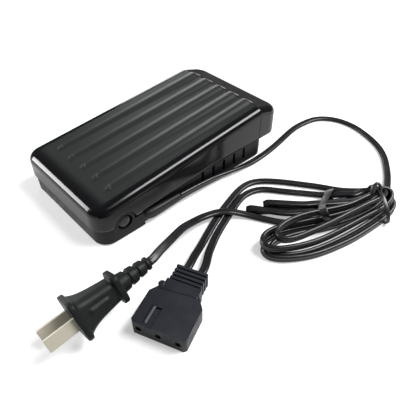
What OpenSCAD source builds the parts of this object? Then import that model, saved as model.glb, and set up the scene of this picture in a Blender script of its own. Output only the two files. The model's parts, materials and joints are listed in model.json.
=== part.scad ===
// Sewing machine foot pedal with its leads, plug and connector.
// Millimetres, +Z up, the treadle's low front edge toward -Y.

/* [Treadle] */
// width across the treadle skirt
treadle_w = 78; // [76:0.5:82]
// length of the treadle
treadle_l = 144; // [142:0.5:146]
// height of the top face at the front edge
front_h = 25.2; // [24:0.1:27]
// rise of the top face toward the rear, degrees
top_slope = 5.9; // [5.5:0.1:6.5]
// distance of the crest from the middle
crest_y = 53.5; // [50:0.5:56]
// fall of the rear band, degrees
rear_fall = 15.5; // [12:0.5:18]
// radius of the rounded top edge
edge_r = 4.5; // [4:0.1:5]
// wall thickness of the treadle shell
shell_wall = 1.9; // [1.5:0.1:2.2]
// spacing of the lengthwise ribs
rib_pitch = 12.5; // [11:0.5:13.5]
// radius of the round bar that each rib is the top of
rib_r = 3.2; // [2.8:0.1:3.6]
// height of a rib at its front end
rib_rise_front = 0.5; // [0.3:0.1:0.8]
// height of a rib at the crest
rib_rise_rear = 1.5; // [1:0.1:1.8]

/* [Hinge] */
// pivot distance in front of the middle
pivot_back = 55; // [54:0.5:56]
// pivot height
pivot_z = 11.5; // [11.2:0.1:12]
// travel of the treadle, degrees
press_angle = 5.5; // [4.5:0.1:5.8]
// pivot pin diameter
pin_d = 4; // [3.5:0.1:4.5]
// width of a treadle lug
lug_w = 3.6; // [3:0.1:4]

/* [Base] */
// height of the base wall
base_wall_top = 17.5; // [16.5:0.1:18.5]
// thickness of the base wall
base_wall = 2.2; // [1.8:0.1:2.6]
// thickness of the base floor
floor_t = 2.4; // [2:0.1:2.6]
// width of a vent slot
vent_w = 2; // [1.5:0.1:2.5]
// spacing of the vent slots
vent_pitch = 9.3; // [8.5:0.1:9.8]
// diameter of a rubber foot
foot_d = 12; // [10:0.5:13]
// diameter of a bump stop
bump_d = 8; // [7:0.5:9]

/* [Inside] */
// coil diameter of the return spring
spring_d = 11; // [10.5:0.5:12]
// wire thickness of the return spring
spring_wire = 1.2; // [1:0.1:1.4]
// diameter of the carbon disc bores
bore_d = 7; // [6.9:0.1:7.6]
// diameter of the contact lever pin
lever_pin_d = 3; // [2.6:0.1:3.2]
// diameter of the contact buttons
button_d = 4.5; // [4:0.1:4.6]
// diameter of the capacitor
capacitor_d = 10; // [9:0.5:10.5]
// diameter of the adjusting screw
adjuster_d = 4; // [3.5:0.1:4.4]

/* [Leads] */
// width of the flat twin lead
lead_w = 4.6; // [4.2:0.1:5]
// thickness of the flat twin lead
lead_t = 2.5; // [2.2:0.1:2.7]
// height of the folded hank
hank_h = 10.5; // [8:0.5:12]
// width of a plug blade
blade_w = 6.35; // [6:0.05:6.6]
// spacing of the plug blades
blade_pitch = 12.7; // [12.5:0.1:12.9]
// thickness of the connector
connector_h = 9.5; // [9.5:0.5:11]
// spacing of the connector holes
hole_pitch = 10; // [9.5:0.1:10.3]
// diameter of the connector holes
hole_d = 3; // [2.6:0.1:3.2]

/* [Hidden] */
$fn = 48;
far = 200;
half_w = treadle_w / 2;
half_l = treadle_l / 2;
plan_r = 9;
pivot_y = -pivot_back;
run_gap = 0.08;
body_gap = 0.4;
press_sin = sin(press_angle);
press_cos = cos(press_angle);

// heights of the top faces
function top_z(y) = front_h + (y + half_l) * tan(top_slope);
crest_z = top_z(crest_y);
function rear_z(y) = crest_z - (y - crest_y) * tan(rear_fall);
function under_z(y) = min(top_z(y) - shell_wall / cos(top_slope), rear_z(y) - shell_wall / cos(rear_fall));
crest_lean = (sin(rear_fall) - sin(top_slope)) / (1 + cos(top_slope + rear_fall));
crest_drop = (cos(rear_fall) + cos(top_slope)) / (1 + cos(top_slope + rear_fall));

// base outline
foot_gap = 1.2;
floor_z = foot_gap + floor_t;
base_half = half_w - shell_wall - 0.5;
cheek_half = half_w - 0.4;
cheek_in = base_half - base_wall + 0.1;
front_y = -half_l + 1;
front_wall = 3.2;
front_top = pivot_z + 0.1;
cheek_low = pivot_z - 1.3;
cheek_r = 6.5;
cheek_end = pivot_y + 13;
skirt_gap_r = 7.2;
rear_y = half_l - 10.6;
inner_half = base_half - base_wall;
inner_rear = rear_y - base_wall;
counterbore_d = 9.6;
counterbore_deep = 1.6;
pin_seat = cheek_half - counterbore_deep;
lug_out = cheek_in - 0.5;
lug_in = lug_out - lug_w;
lug_r = 5.5;
clip_t = 0.4;
clip_x = lug_in - 0.3 - clip_t;
front_edge_z = front_top + body_gap;

// places inside the base
foot_front = front_y + 11;
foot_rear = inner_rear - 14.2;
foot_x = inner_half - 6.4;
foot_spots = [[-22, foot_front], [22, foot_front], [-foot_x, foot_rear], [foot_x, foot_rear]];
bump_x = 20;
bump_y = inner_rear - 6.2;
bump_spots = [[-bump_x, bump_y], [bump_x, bump_y]];
bump_top = 16;
post_r = 3;
spring_y = 36;
spring_boss_r = spring_d / 2 - spring_wire - 0.6;
block_front = -16.5;
block_rear = 14;
block_top = floor_z + 11.8;
bore_x = 9;
bore_z = floor_z + 6.8;
stack_front = -14;
stack_rear = 10.4;
disc_count = 13;
disc_d = bore_d - 0.2;
flange_x = inner_half - 13.4;
block_w = 2 * (flange_x - 3);
ear_front = -6;
ear_rear = 4;
ear_reach = flange_x + 3.4;
ear_top = floor_z + 4;
block_screw_y = (ear_front + ear_rear) / 2;
terminal_head_d = 5.6;
terminal_z = block_top + 3.4;
plate_t = 1;
lever_y = -20;
lever_z = floor_z + 2.8;
barrel_r = 2.5;
barrel_in = 6;
ear_in = 15.4;
ear_t = 1.8;
ear_r = 3.2;
arm_top = floor_z + 20.9;
arm_t = 1.5;
arm_half = 3;
arm_end = 14.5;
button_face = -15.6;
rivet_d = 2.4;
rivet_head_d = 3.6;
adjuster_y = 12;
adjuster_tip = arm_top + body_gap;
adjuster_end = under_z(adjuster_y - adjuster_d / 2) - 0.1;
capacitor_y = 24;
capacitor_z = floor_z + capacitor_d / 2 + 0.9;
capacitor_x = [4.4 - inner_half, 26.4 - inner_half];
clamp_x = inner_half - 9.4;
clamp_post_d = 6;
outlet_y = -38.5;
outlet_z = floor_z + 2.8;
clamp_posts = [outlet_y - 7, outlet_y + 7];
clamp_z = outlet_z + lead_w / 2;
inner_end = inner_half - 14.4;
wire_d = 1.8;
wire_x = inner_half - 6.4;
lead_x = half_w - 0.6;
relief_end = -16;

// plug, lying on a corner of its flange with its tips low
plug_at = [73.4, -107.7];
plug_tilt = 6;
plug_roll = 58;
flange_w = 21;
flange_h = 19.7;
flange_r = 4;
flange_side = flange_w / 2 - flange_r;
flange_end = flange_h / 2 - flange_r;
flange_drop = flange_side * sin(plug_roll) + flange_end * cos(plug_roll) + flange_r;
plug_axis_z = flange_drop * cos(plug_tilt);
blade_l = 14.8;
blade_t = 1.5;
blade_root = 5;
collar_from = 22;
relief_from = 25;
relief_to = 42.3;
function on_plug_axis(d) =
  [plug_at[0], plug_at[1] + d * cos(plug_tilt), plug_axis_z + d * sin(plug_tilt)];

// lead routes, each a run of hand-placed points
flat_z = lead_t / 2 + 0.05;
over_z = lead_t * 1.5 + 0.45;
pedal_route = [
  [lead_x, relief_end, outlet_z], [lead_x, -6, 6], [lead_x, 4, 5.2], [lead_x + 0.2, 14, 4.3],
  [lead_x + 0.8, 22, 3.6], [lead_x + 1.5, 30, 2.9], [lead_x + 1.9, 38, 2.1], [lead_x + 2, 47, flat_z],
  [lead_x + 1.8, 56, flat_z], [lead_x + 1, 66, flat_z], [38, 76, flat_z], [36.2, 86, flat_z],
  [34.6, 95, flat_z], [33.8, 104, flat_z], [34.4, 113, flat_z], [37, 121.5, flat_z],
  [42, 128.5, flat_z], [49, 133, flat_z], [57.5, 135, flat_z], [66.5, 134.4, flat_z],
  [75.5, 131.8, flat_z], [84, 128.3, flat_z], [92, 123.2, flat_z], [99, 116.5, flat_z],
  [105, 108.6, flat_z], [110.4, 100.5, flat_z], [115.4, 92.3, flat_z], [120.3, 82.4, flat_z + 0.3]];
pedal_rolls = [90, 90, 88, 78, 60, 40, 18, for (i = [7:27]) 0];
plug_route = [
  on_plug_axis(relief_to + 0.02), on_plug_axis(relief_to + 3.2), [73, -59.6, 17.4], [71.6, -55.6, 16.2],
  [68.5, -50.3, 14.2], [65.1, -42.6, 10.6], [61.4, -34.7, 7], [58.1, -26.4, 3.8], [56.2, -18.5, 2.1],
  [56.8, -11.4, 2.9], [60, -5.6, over_z], [65, -1, over_z], [70, 2.4, 3.3], [76, 5.2, 1.9],
  [82, 8.6, flat_z], [87.4, 13.2, flat_z], [91.4, 19.4, flat_z + 0.4]];
plug_rolls = [58, 58, 57, 54, 48, 38, 26, 12, 2, for (i = [9:16]) 0];
left_route = [
  [82.37, -49.96, connector_h / 2], [79.9, -44.1, 4.5], [77, -38.9, 3.5], [74.4, -33.7, 2.2],
  [71.4, -27.5, flat_z], [67.8, -19.5, flat_z], [64.4, -11.5, flat_z], [61.4, -3.5, flat_z],
  [58.6, 5, flat_z], [56.2, 13, flat_z], [54.4, 21, flat_z], [54.6, 28.5, flat_z], [57.4, 34.8, flat_z],
  [62.6, 40, flat_z], [69.5, 45, flat_z], [77, 50.4, flat_z + 0.3], [85, 56.4, 3.6], [93, 62.4, 6.8],
  [100.4, 67.8, 9.2]];
right_route = [
  [89.88, -46.68, connector_h / 2], [87.3, -41.1, 4.5], [84.1, -36.4, 3.5], [80.8, -31.7, 2.2],
  [77.8, -26.5, flat_z], [74.8, -20.5, flat_z], [71.8, -13.5, flat_z], [69, -6.5, flat_z],
  [66.2, 0.5, flat_z], [63.8, 8, flat_z], [62.1, 15.5, flat_z], [62.4, 22.5, flat_z], [65.5, 29.4, flat_z],
  [70.6, 35.4, flat_z], [77.4, 41.2, flat_z], [84.4, 46.8, flat_z], [91, 52, flat_z],
  [96.4, 57.2, 3.2], [99.8, 61.6, 5.4]];

// hank, ties and connector places
hank_low = [106, 3];
hank_low_r = 14;
hank_high = [125, 75];
hank_high_r = 8.5;
wedge_tip = [75, 14.5];
wedge_tip_r = 5.6;
wedge_mid = [99.5, 43];
wedge_root = [110, 73];
wedge_root_r = 9;
tie_t = 0.8;
band_at = [105.9, 43.8];
band_turn = 54.4;
band_reach = 20.6;
band_w = 5;
twist_at = [120.6, 71.5];
twist_turn = 50;
twist_reach = 28;
twist_w = 2.4;
connector_at = [86.4, -48.2];
connector_turn = -66.4;
connector_l = 38.2;
connector_half = 13.9;
sleeve_l = 15;
sleeve_wall = 0.7;

// Tools for the shapes

function unit(v) = v / norm(v);

function heading(p, i) =
  unit(p[min(i + 1, len(p) - 1)] - p[max(i - 1, 0)]);

function ring_of(p, i, wide, thick, roll, sides, ref) =
  let (t = heading(p, i))
  let (s = unit(cross(t, ref)))
  let (n = cross(s, t))
  [for (k = [0:sides - 1])
    let (a = 360 * (k + 0.5) / sides)
    let (u = wide / 2 * cos(a) / cos(180 / sides))
    let (v = thick / 2 * sin(a) / cos(180 / sides))
    p[i] + (u * cos(roll) - v * sin(roll)) * s + (u * sin(roll) + v * cos(roll)) * n];

// a tube with an oval section along a route
module swept(p, wide, thick, rolls, sides, ref) {
  last = len(p) - 1;
  points = [for (i = [0:last]) each ring_of(p, i, wide, thick, rolls[i], sides, ref)];
  walls = [for (i = [0:last - 1]) for (k = [0:sides - 1])
    [i * sides + k, i * sides + (k + 1) % sides, (i + 1) * sides + (k + 1) % sides, (i + 1) * sides + k]];
  first_cap = [for (k = [0:sides - 1]) sides - 1 - k];
  last_cap = [for (k = [0:sides - 1]) last * sides + k];
  polyhedron(points = points, faces = concat([first_cap], walls, [last_cap]), convexity = 10);
}

module flat_lead(p, rolls) {
  swept(p, lead_w, lead_t, rolls, 8, [0, 0, 1]);
}

module wire(p, d, ref) {
  swept(p, d, d, [for (i = p) 0], 6, ref);
}

function level(p) = [for (i = p) 0];

// a flat outline in Y and Z, drawn out along X
module along_x(x0, x1) {
  translate([x0, 0, 0])
    rotate([90, 0, 90])
      linear_extrude(height = x1 - x0)
        children();
}

module rod_x(x0, x1, y, z, d) {
  translate([x0, y, z])
    rotate([0, 90, 0])
      cylinder(d = d, h = x1 - x0);
}

module rod_y(y0, y1, x, z, d) {
  translate([x, y0, z])
    rotate([-90, 0, 0])
      cylinder(d = d, h = y1 - y0);
}

module rod_z(spot, z0, z1, d) {
  translate([spot[0], spot[1], z0])
    cylinder(d = d, h = z1 - z0);
}

module box(x0, x1, y0, y1, z0, z1) {
  translate([x0, y0, z0])
    cube([x1 - x0, y1 - y0, z1 - z0]);
}

module both_sides() {
  children();
  mirror([1, 0, 0])
    children();
}

// a rectangle with separate front and rear corner radii
module plan(half, y0, y1, r0, r1) {
  for (s = [-1, 1]) {
    translate([s * (half - r0), y0 + r0])
      circle(r = r0);
    translate([s * (half - r1), y1 - r1])
      circle(r = r1);
  }
  translate([-half, y0 + r0])
    square([2 * half, y1 - y0 - r0 - r1]);
  translate([r0 - half, y0])
    square([2 * (half - r0), r0 + 0.01]);
  translate([r1 - half, y1 - r1 - 0.01])
    square([2 * (half - r1), r1 + 0.01]);
}

module round_rect(w, h, r) {
  for (sx = [-1, 1])
    for (sy = [-1, 1])
      translate([sx * (w / 2 - r), sy * (h / 2 - r)])
        circle(r = r);
  square([w - 2 * r, h], center = true);
  square([w, h - 2 * r], center = true);
}

// two circles and the straight sides between them
module tapered_outline(a, ra, b, rb) {
  hull() {
    translate(a)
      circle(r = ra);
    translate(b)
      circle(r = rb);
  }
}

// Treadle

module corner_form(x, y, face_z, tilt, inset) {
  ring = plan_r - edge_r;
  centre = face_z - edge_r / cos(tilt);
  translate([x, y, 0]) {
    translate([0, 0, 8])
      cylinder(r = plan_r - inset, h = centre - plan_r * abs(sin(tilt)) - 0.1 - 8);
    translate([0, 0, centre])
      rotate([tilt, 0, 0])
        rotate_extrude()
          translate([ring, 0])
            circle(r = edge_r - inset);
  }
}

module treadle_form(inset) {
  x = half_w - plan_r;
  y = half_l - plan_r;
  hull() {
    for (s = [-1, 1]) {
      corner_form(s * x, -y, top_z(-y), top_slope, inset, $fn = 40);
      corner_form(s * x, y, rear_z(y), -rear_fall, inset, $fn = 40);
      translate([s * (half_w - edge_r), crest_y - edge_r * crest_lean, crest_z - edge_r * crest_drop])
        sphere(r = edge_r - inset, $fn = 40);
    }
  }
}

// round bars that lie just under the top face and come up toward the crest
module ribs() {
  y0 = 17.5 - half_l;
  y1 = crest_y - 1;
  a = [y0, top_z(y0) + rib_rise_front - rib_r];
  b = [y1, top_z(y1) + rib_rise_rear - rib_r];
  run = norm(b - a);
  for (k = [-2:2])
    translate([k * rib_pitch, a[0], a[1]])
      rotate([atan2(b[1] - a[1], b[0] - a[0]) - 90, 0, 0]) {
        cylinder(r = rib_r, h = run);
        sphere(r = rib_r);
        translate([0, 0, run])
          sphere(r = rib_r);
      }
}

module lug() {
  difference() {
    union() {
      rod_x(lug_in, lug_out, pivot_y, pivot_z, 2 * lug_r);
      along_x(lug_in, lug_out)
        polygon([
          [pivot_y - lug_r, pivot_z], [pivot_y + lug_r, pivot_z],
          [pivot_y + lug_r, top_z(pivot_y + lug_r) - 0.9],
          [pivot_y - lug_r, top_z(pivot_y - lug_r) - 0.9]]);
    }
    rod_x(lug_in - 1, lug_out + 1, pivot_y, pivot_z, pin_d + 2 * run_gap);
  }
}

// lower end of a stop post, just above its bump stop at full press
function post_end(y) =
  pivot_z + (bump_top + body_gap - pivot_z + (y + post_r - pivot_y) * press_sin) / press_cos;

module treadle() {
  color([0.03, 0.03, 0.035]) {
    difference() {
      union() {
        treadle_form(0);
        ribs();
      }
      treadle_form(shell_wall);
      along_x(-far, far)
        polygon([
          [-far, 0], [-far, front_edge_z], [pivot_y, front_edge_z], [pivot_y + 7, front_edge_z],
          [pivot_y + 12, pivot_z + 0.9], [10, base_wall_top - 0.5], [half_l, base_wall_top - 1.3],
          [far, base_wall_top - 1.3], [far, 0]]);
      rod_x(-far, far, pivot_y, pivot_z, 2 * skirt_gap_r);
    }
    both_sides()
      lug();
    for (spot = bump_spots)
      rod_z(spot, post_end(spot[1]), under_z(spot[1]) + 0.9, 2 * post_r);
    rod_z([0, spring_y], under_z(spring_y) - 6.5, under_z(spring_y) + 0.9, 2 * spring_boss_r - 2);
    difference() {
      rod_z([0, adjuster_y], adjuster_tip + 2.6, under_z(adjuster_y) + 0.9, adjuster_d + 4);
      rod_z([0, adjuster_y], adjuster_tip, adjuster_end, adjuster_d);
    }
  }
}

module adjusting_screw() {
  color([0.7, 0.7, 0.72])
    difference() {
      union() {
        rod_z([0, adjuster_y], adjuster_tip + 0.6, adjuster_end, adjuster_d);
        rod_z([0, adjuster_y], adjuster_tip, adjuster_tip + 0.6, 2.6);
      }
      box(-0.4, 0.4, adjuster_y - 3, adjuster_y + 3, adjuster_tip - 1, adjuster_tip + 0.4);
    }
}

module adjusting_nut() {
  color([0.72, 0.7, 0.62])
    difference() {
      translate([0, adjuster_y, adjuster_tip + 0.7])
        cylinder(r = adjuster_d * 0.95, h = 1.9, $fn = 6);
      rod_z([0, adjuster_y], adjuster_tip, adjuster_tip + 4, adjuster_d);
    }
}

// Base

module front_block() {
  difference() {
    union() {
      translate([0, 0, foot_gap])
        linear_extrude(height = front_top - foot_gap)
          plan(cheek_half, front_y, cheek_end, plan_r - 0.4, 0.5);
      both_sides()
        rod_x(cheek_in, cheek_half, pivot_y, pivot_z, 2 * cheek_r);
    }
    box(-far, far, pivot_y + cheek_r - 0.1, cheek_end + 1, cheek_low, far);
    box(-cheek_in, cheek_in, front_y + front_wall, cheek_end + 1, floor_z, far);
  }
}

module vent(y) {
  low = foot_gap + 3.4;
  high = base_wall_top - 4.3;
  both_sides() {
    box(inner_half - 1, base_half + 1, y - vent_w / 2, y + vent_w / 2, low + vent_w / 2, high - vent_w / 2);
    rod_x(inner_half - 1, base_half + 1, y, low + vent_w / 2, vent_w);
    rod_x(inner_half - 1, base_half + 1, y, high - vent_w / 2, vent_w);
  }
}

module lever_ear() {
  difference() {
    union() {
      rod_x(ear_in, ear_in + ear_t, lever_y, lever_z, 2 * ear_r);
      box(ear_in, ear_in + ear_t, lever_y - ear_r, lever_y + ear_r, floor_z - 0.5, lever_z);
    }
    rod_x(ear_in - 1, ear_in + ear_t + 1, lever_y, lever_z, lever_pin_d);
  }
}

module cradle(x) {
  cradle_half = capacitor_d * 0.6;
  difference() {
    box(x, x + 2, capacitor_y - cradle_half, capacitor_y + cradle_half, floor_z - 0.5, capacitor_z - 1);
    rod_x(x - 1, x + 3, capacitor_y, capacitor_z, capacitor_d);
  }
}

module base_tray() {
  recess = 1.6;
  color([0.06, 0.06, 0.065])
    difference() {
      union() {
        difference() {
          translate([0, 0, foot_gap])
            linear_extrude(height = base_wall_top - foot_gap)
              plan(base_half, cheek_end - 0.5, rear_y, 0.5, 7);
          translate([0, 0, floor_z])
            linear_extrude(height = far)
              plan(inner_half, cheek_end - 9, inner_rear, 0.5, 7 - base_wall);
        }
        front_block();
        for (spot = foot_spots)
          rod_z(spot, floor_z - 0.5, floor_z + 3.6, 8);
        rod_z([0, spring_y], floor_z - 0.5, floor_z + 4, 2 * spring_boss_r);
        for (spot = bump_spots)
          rod_z(spot, floor_z - 0.5, floor_z + 4, 3.6);
        both_sides()
          lever_ear();
        cradle(capacitor_x[0] + 3);
        cradle(capacitor_x[1] - 5);
        for (y = clamp_posts)
          rod_z([clamp_x, y], floor_z - 0.5, clamp_z, clamp_post_d);
      }
      both_sides() {
        rod_x(cheek_in - 1, cheek_half + 1, pivot_y, pivot_z, pin_d);
        rod_x(pin_seat, cheek_half + 1, pivot_y, pivot_z, counterbore_d);
      }
      for (k = [0:4])
        vent(4.5 + k * vent_pitch);
      rod_x(inner_half - 1, base_half + 1, outlet_y, outlet_z, lead_w + 0.4);
      for (spot = foot_spots) {
        rod_z(spot, 0, foot_gap + recess, foot_d);
        rod_z(spot, 0, floor_z + 3, 3);
      }
      for (x = [-flange_x, flange_x])
        rod_z([x, block_screw_y], foot_gap + 0.6, far, 3);
      for (y = clamp_posts)
        rod_z([clamp_x, y], floor_z + 1, far, 2.2);
    }
}

// a shouldered pin with a groove for its clip, turned about its own axis
module pivot_pins() {
  r = pin_d / 2;
  head = counterbore_d / 2 - 0.8;
  start = clip_x - 0.8;
  groove = clip_x - start;
  seat = pin_seat - start;
  end = cheek_half - 0.1 - start;
  color([0.75, 0.75, 0.76])
    both_sides()
      translate([start, pivot_y, pivot_z])
        rotate([0, 90, 0])
          rotate_extrude()
            polygon([
              [0, 0], [r - 0.3, 0], [r, 0.3], [r, groove], [r - 0.4, groove], [r - 0.4, groove + clip_t],
              [r, groove + clip_t], [r, seat], [head, seat], [head, end - 0.9], [head * 0.82, end - 0.4],
              [head * 0.55, end - 0.12], [0, end]]);
}

module pivot_clips() {
  color([0.6, 0.6, 0.62])
    both_sides()
      difference() {
        rod_x(clip_x, clip_x + clip_t, pivot_y, pivot_z, pin_d + 3.4);
        rod_x(clip_x - 1, clip_x + clip_t + 1, pivot_y, pivot_z, pin_d - 0.8);
        box(clip_x - 1, clip_x + clip_t + 1, pivot_y - 1, pivot_y + 1, pivot_z - 5, pivot_z);
      }
}

module rubber_feet() {
  color([0.05, 0.05, 0.05])
    for (spot = foot_spots)
      difference() {
        rod_z(spot, 0, foot_gap + 1.6, foot_d);
        rod_z(spot, -1, 1.4, 6.4);
        rod_z(spot, 1, 9, 3);
      }
}

module foot_screws() {
  color([0.72, 0.72, 0.74])
    for (spot = foot_spots)
      difference() {
        union() {
          rod_z(spot, 0.5, 1.4, 6);
          rod_z(spot, 1.4, floor_z + 3, 3);
        }
        translate([spot[0], spot[1], 0])
          box(-0.4, 0.4, -4, 4, 0, 0.9);
      }
}

module bump_stops() {
  color([0.1, 0.1, 0.1])
    for (spot = bump_spots)
      difference() {
        rod_z(spot, floor_z, bump_top, bump_d);
        rod_z(spot, floor_z - 1, floor_z + 4, 3.6);
      }
}

module return_spring() {
  turns = 7;
  steps = 14;
  r = (spring_d - spring_wire) / 2;
  low = floor_z + spring_wire / 2 + 0.02;
  reach = under_z(spring_y - spring_d / 2) - 0.35 - spring_wire / 2 - low;
  p = [for (i = [0:turns * steps])
    let (a = 360 * i / steps)
    let (t = i / (turns * steps))
    [r * cos(a), spring_y + r * sin(a), low + reach * (t - 0.13 * sin(360 * t) / 2)]];
  color([0.7, 0.7, 0.72])
    wire(p, spring_wire, [0, 0, 1]);
}

// Resistance block and its contacts

module ceramic_block() {
  color([0.9, 0.88, 0.82])
    difference() {
      union() {
        box(-block_w / 2, block_w / 2, block_front, block_rear, floor_z, block_top);
        box(-ear_reach, ear_reach, ear_front, ear_rear, floor_z, ear_top);
      }
      for (x = [-bore_x, bore_x])
        rod_y(block_front - 1, block_rear + 1, x, bore_z, bore_d);
      for (x = [-flange_x, flange_x])
        rod_z([x, block_screw_y], floor_z - 1, ear_top + 1, 3);
    }
}

module block_screws() {
  color([0.72, 0.72, 0.74])
    for (x = [-flange_x, flange_x])
      difference() {
        union() {
          rod_z([x, block_screw_y], foot_gap + 0.6, ear_top, 3);
          rod_z([x, block_screw_y], ear_top, ear_top + 2, 6);
        }
        box(x - 0.4, x + 0.4, block_screw_y - 4, block_screw_y + 4, ear_top + 1.2, ear_top + 3);
      }
}

// one pile of discs, the edge of each disc rounded off
module disc_pile() {
  pitch = (stack_rear - stack_front) / disc_count;
  r = disc_d / 2;
  nick = 0.2;
  edge = [for (k = [0:disc_count - 1]) each [
    [r - nick, k * pitch], [r, k * pitch + nick], [r, (k + 1) * pitch - nick]]];
  rotate_extrude()
    polygon(concat([[0, 0]], edge, [[r - nick, disc_count * pitch], [0, disc_count * pitch]]));
}

module carbon_discs() {
  color([0.15, 0.15, 0.16])
    for (x = [-bore_x, bore_x])
      translate([x, stack_front, bore_z])
        rotate([-90, 0, 0])
          disc_pile();
}

module end_contacts() {
  color([0.85, 0.68, 0.3])
    for (x = [-bore_x, bore_x])
      difference() {
        union() {
          box(x - 4.5, x + 4.5, block_rear, block_rear + plate_t, floor_z + 1, terminal_z + 3);
          rod_y(stack_rear, block_rear + 0.5, x, bore_z, bore_d - 0.6);
        }
        rod_y(block_rear - 1, block_rear + 3, x, terminal_z, 3);
      }
}

module terminal_screws() {
  seat = block_rear + plate_t;
  color([0.72, 0.7, 0.62])
    for (x = [-bore_x, bore_x])
      difference() {
        union() {
          rod_y(block_rear - 4.5, seat, x, terminal_z, 3);
          rod_y(seat, seat + 1.8, x, terminal_z, terminal_head_d);
        }
        box(x - 4, x + 4, seat + 1, seat + 3, terminal_z - 0.4, terminal_z + 0.4);
      }
}

module terminal_nuts() {
  color([0.72, 0.7, 0.62])
    for (x = [-bore_x, bore_x])
      difference() {
        translate([x, block_rear - 2.4, terminal_z])
          rotate([-90, 0, 0])
            cylinder(r = 3.1, h = 2.4, $fn = 6);
        rod_y(block_rear - 4, block_rear + 1, x, terminal_z, 3);
      }
}

// Contact lever

module lever_pin() {
  color([0.75, 0.75, 0.76])
    rod_x(-ear_in - ear_t - 0.3, ear_in + ear_t + 0.3, lever_y, lever_z, lever_pin_d);
}

module contact_lever() {
  plate = arm_t / 2;
  foot = ear_in - 0.4;
  color([0.8, 0.65, 0.32])
    difference() {
      union() {
        both_sides()
          rod_x(barrel_in, foot, lever_y, lever_z, 2 * barrel_r);
        translate([0, lever_y + plate, 0])
          rotate([90, 0, 0])
            linear_extrude(height = arm_t)
              polygon([
                [-foot, lever_z], [foot, lever_z], [foot, bore_z + 4], [arm_half + 2, arm_top - 4],
                [arm_half, arm_top - 1], [arm_half, arm_top], [-arm_half, arm_top],
                [-arm_half, arm_top - 1], [-arm_half - 2, arm_top - 4], [-foot, bore_z + 4]]);
        box(-arm_half, arm_half, lever_y - plate, arm_end, arm_top - arm_t, arm_top);
      }
      rod_x(-far, far, lever_y, lever_z, lever_pin_d + 0.1);
      box(-barrel_in, barrel_in, lever_y - 3, lever_y + 3, lever_z - 4, lever_z + 3.6);
      for (x = [-bore_x, bore_x]) {
        rod_y(lever_y - plate, lever_y + plate, x, bore_z, rivet_d);
        rod_y(lever_y + plate, lever_y + far, x, bore_z, button_d + 0.2);
        rod_y(lever_y - far, lever_y - plate, x, bore_z, rivet_head_d + 0.2);
      }
    }
}

// riveted contacts that meet the disc piles
module contact_buttons() {
  color([0.85, 0.68, 0.3])
    for (x = [-bore_x, bore_x]) {
      rod_y(lever_y + arm_t / 2, button_face, x, bore_z, button_d);
      rod_y(lever_y - arm_t / 2, lever_y + arm_t / 2, x, bore_z, rivet_d);
      rod_y(lever_y - arm_t / 2 - 0.8, lever_y - arm_t / 2, x, bore_z, rivet_head_d);
    }
}

module lever_spring() {
  steps = 16;
  last = 6 * steps + steps / 4;
  r = 2.2;
  coil = [for (i = [0:last])
    let (a = -90 + 360 * i / steps)
    [-4.5 + 9 * i / last, lever_y + r * cos(a), lever_z + r * sin(a)]];
  start = [[-4.6, lever_y - 7, lever_z - r], [-4.55, lever_y - 1.5, lever_z - r]];
  finish = [[4.55, lever_y + r - 0.1, lever_z + 1.5], [4.6, lever_y + 1.5, lever_z + 4.5],
    [4.6, lever_y + arm_t / 2 + 0.29, lever_z + 7.5]];
  color([0.7, 0.7, 0.72])
    wire(concat(start, coil, finish), 0.6, [1, 0, 0]);
}

// Wiring inside the base

module capacitor() {
  color([0.85, 0.7, 0.25])
    rod_x(capacitor_x[0], capacitor_x[1], capacitor_y, capacitor_z, capacitor_d);
}

module capacitor_leads() {
  tail = block_rear + plate_t + 0.38;
  left_tail = [
    [capacitor_x[0], capacitor_y, capacitor_z], [capacitor_x[0] - 1.4, capacitor_y, capacitor_z + 0.4],
    [capacitor_x[0] - 1.8, capacitor_y - 2, capacitor_z + 4],
    [capacitor_x[0] + 4, capacitor_y - 6, terminal_z - 1], [-2 * bore_x, tail + 1, terminal_z + 2],
    [-bore_x - 3, tail, terminal_z + 2]];
  right_tail = [
    [capacitor_x[1], capacitor_y, capacitor_z], [capacitor_x[1] + 1.4, capacitor_y, capacitor_z + 0.4],
    [capacitor_x[1] + 5, capacitor_y - 1, capacitor_z + 4], [bore_x - 6, capacitor_y - 3, terminal_z - 2],
    [bore_x - 4, tail + 1.6, terminal_z + 1.6], [bore_x - 3, tail, terminal_z + 2.4]];
  color([0.75, 0.75, 0.76]) {
    wire(left_tail, 0.8, [0, 0, 1]);
    wire(right_tail, 0.8, [0, 0, 1]);
  }
}

module cord_clamp() {
  color([0.7, 0.7, 0.72])
    difference() {
      box(clamp_x - 3.5, clamp_x + 3.5, clamp_posts[0] - 3.5, clamp_posts[1] + 3.5, clamp_z, clamp_z + 1.6);
      for (y = clamp_posts)
        rod_z([clamp_x, y], clamp_z - 1, clamp_z + 3, 2.2);
    }
}

module clamp_screws() {
  color([0.72, 0.72, 0.74])
    for (y = clamp_posts)
      difference() {
        union() {
          rod_z([clamp_x, y], floor_z + 1, clamp_z + 1.6, 2.2);
          rod_z([clamp_x, y], clamp_z + 1.6, clamp_z + 3.2, 4.6);
        }
        box(clamp_x - 0.4, clamp_x + 0.4, y - 4, y + 4, clamp_z + 2.5, clamp_z + 4);
      }
}

module inner_lead() {
  color([0.05, 0.05, 0.05])
    along_x(inner_end, inner_half - 1.4)
      translate([outlet_y, outlet_z])
        round_rect(lead_t, lead_w, lead_t / 2 - 0.01);
}

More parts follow.
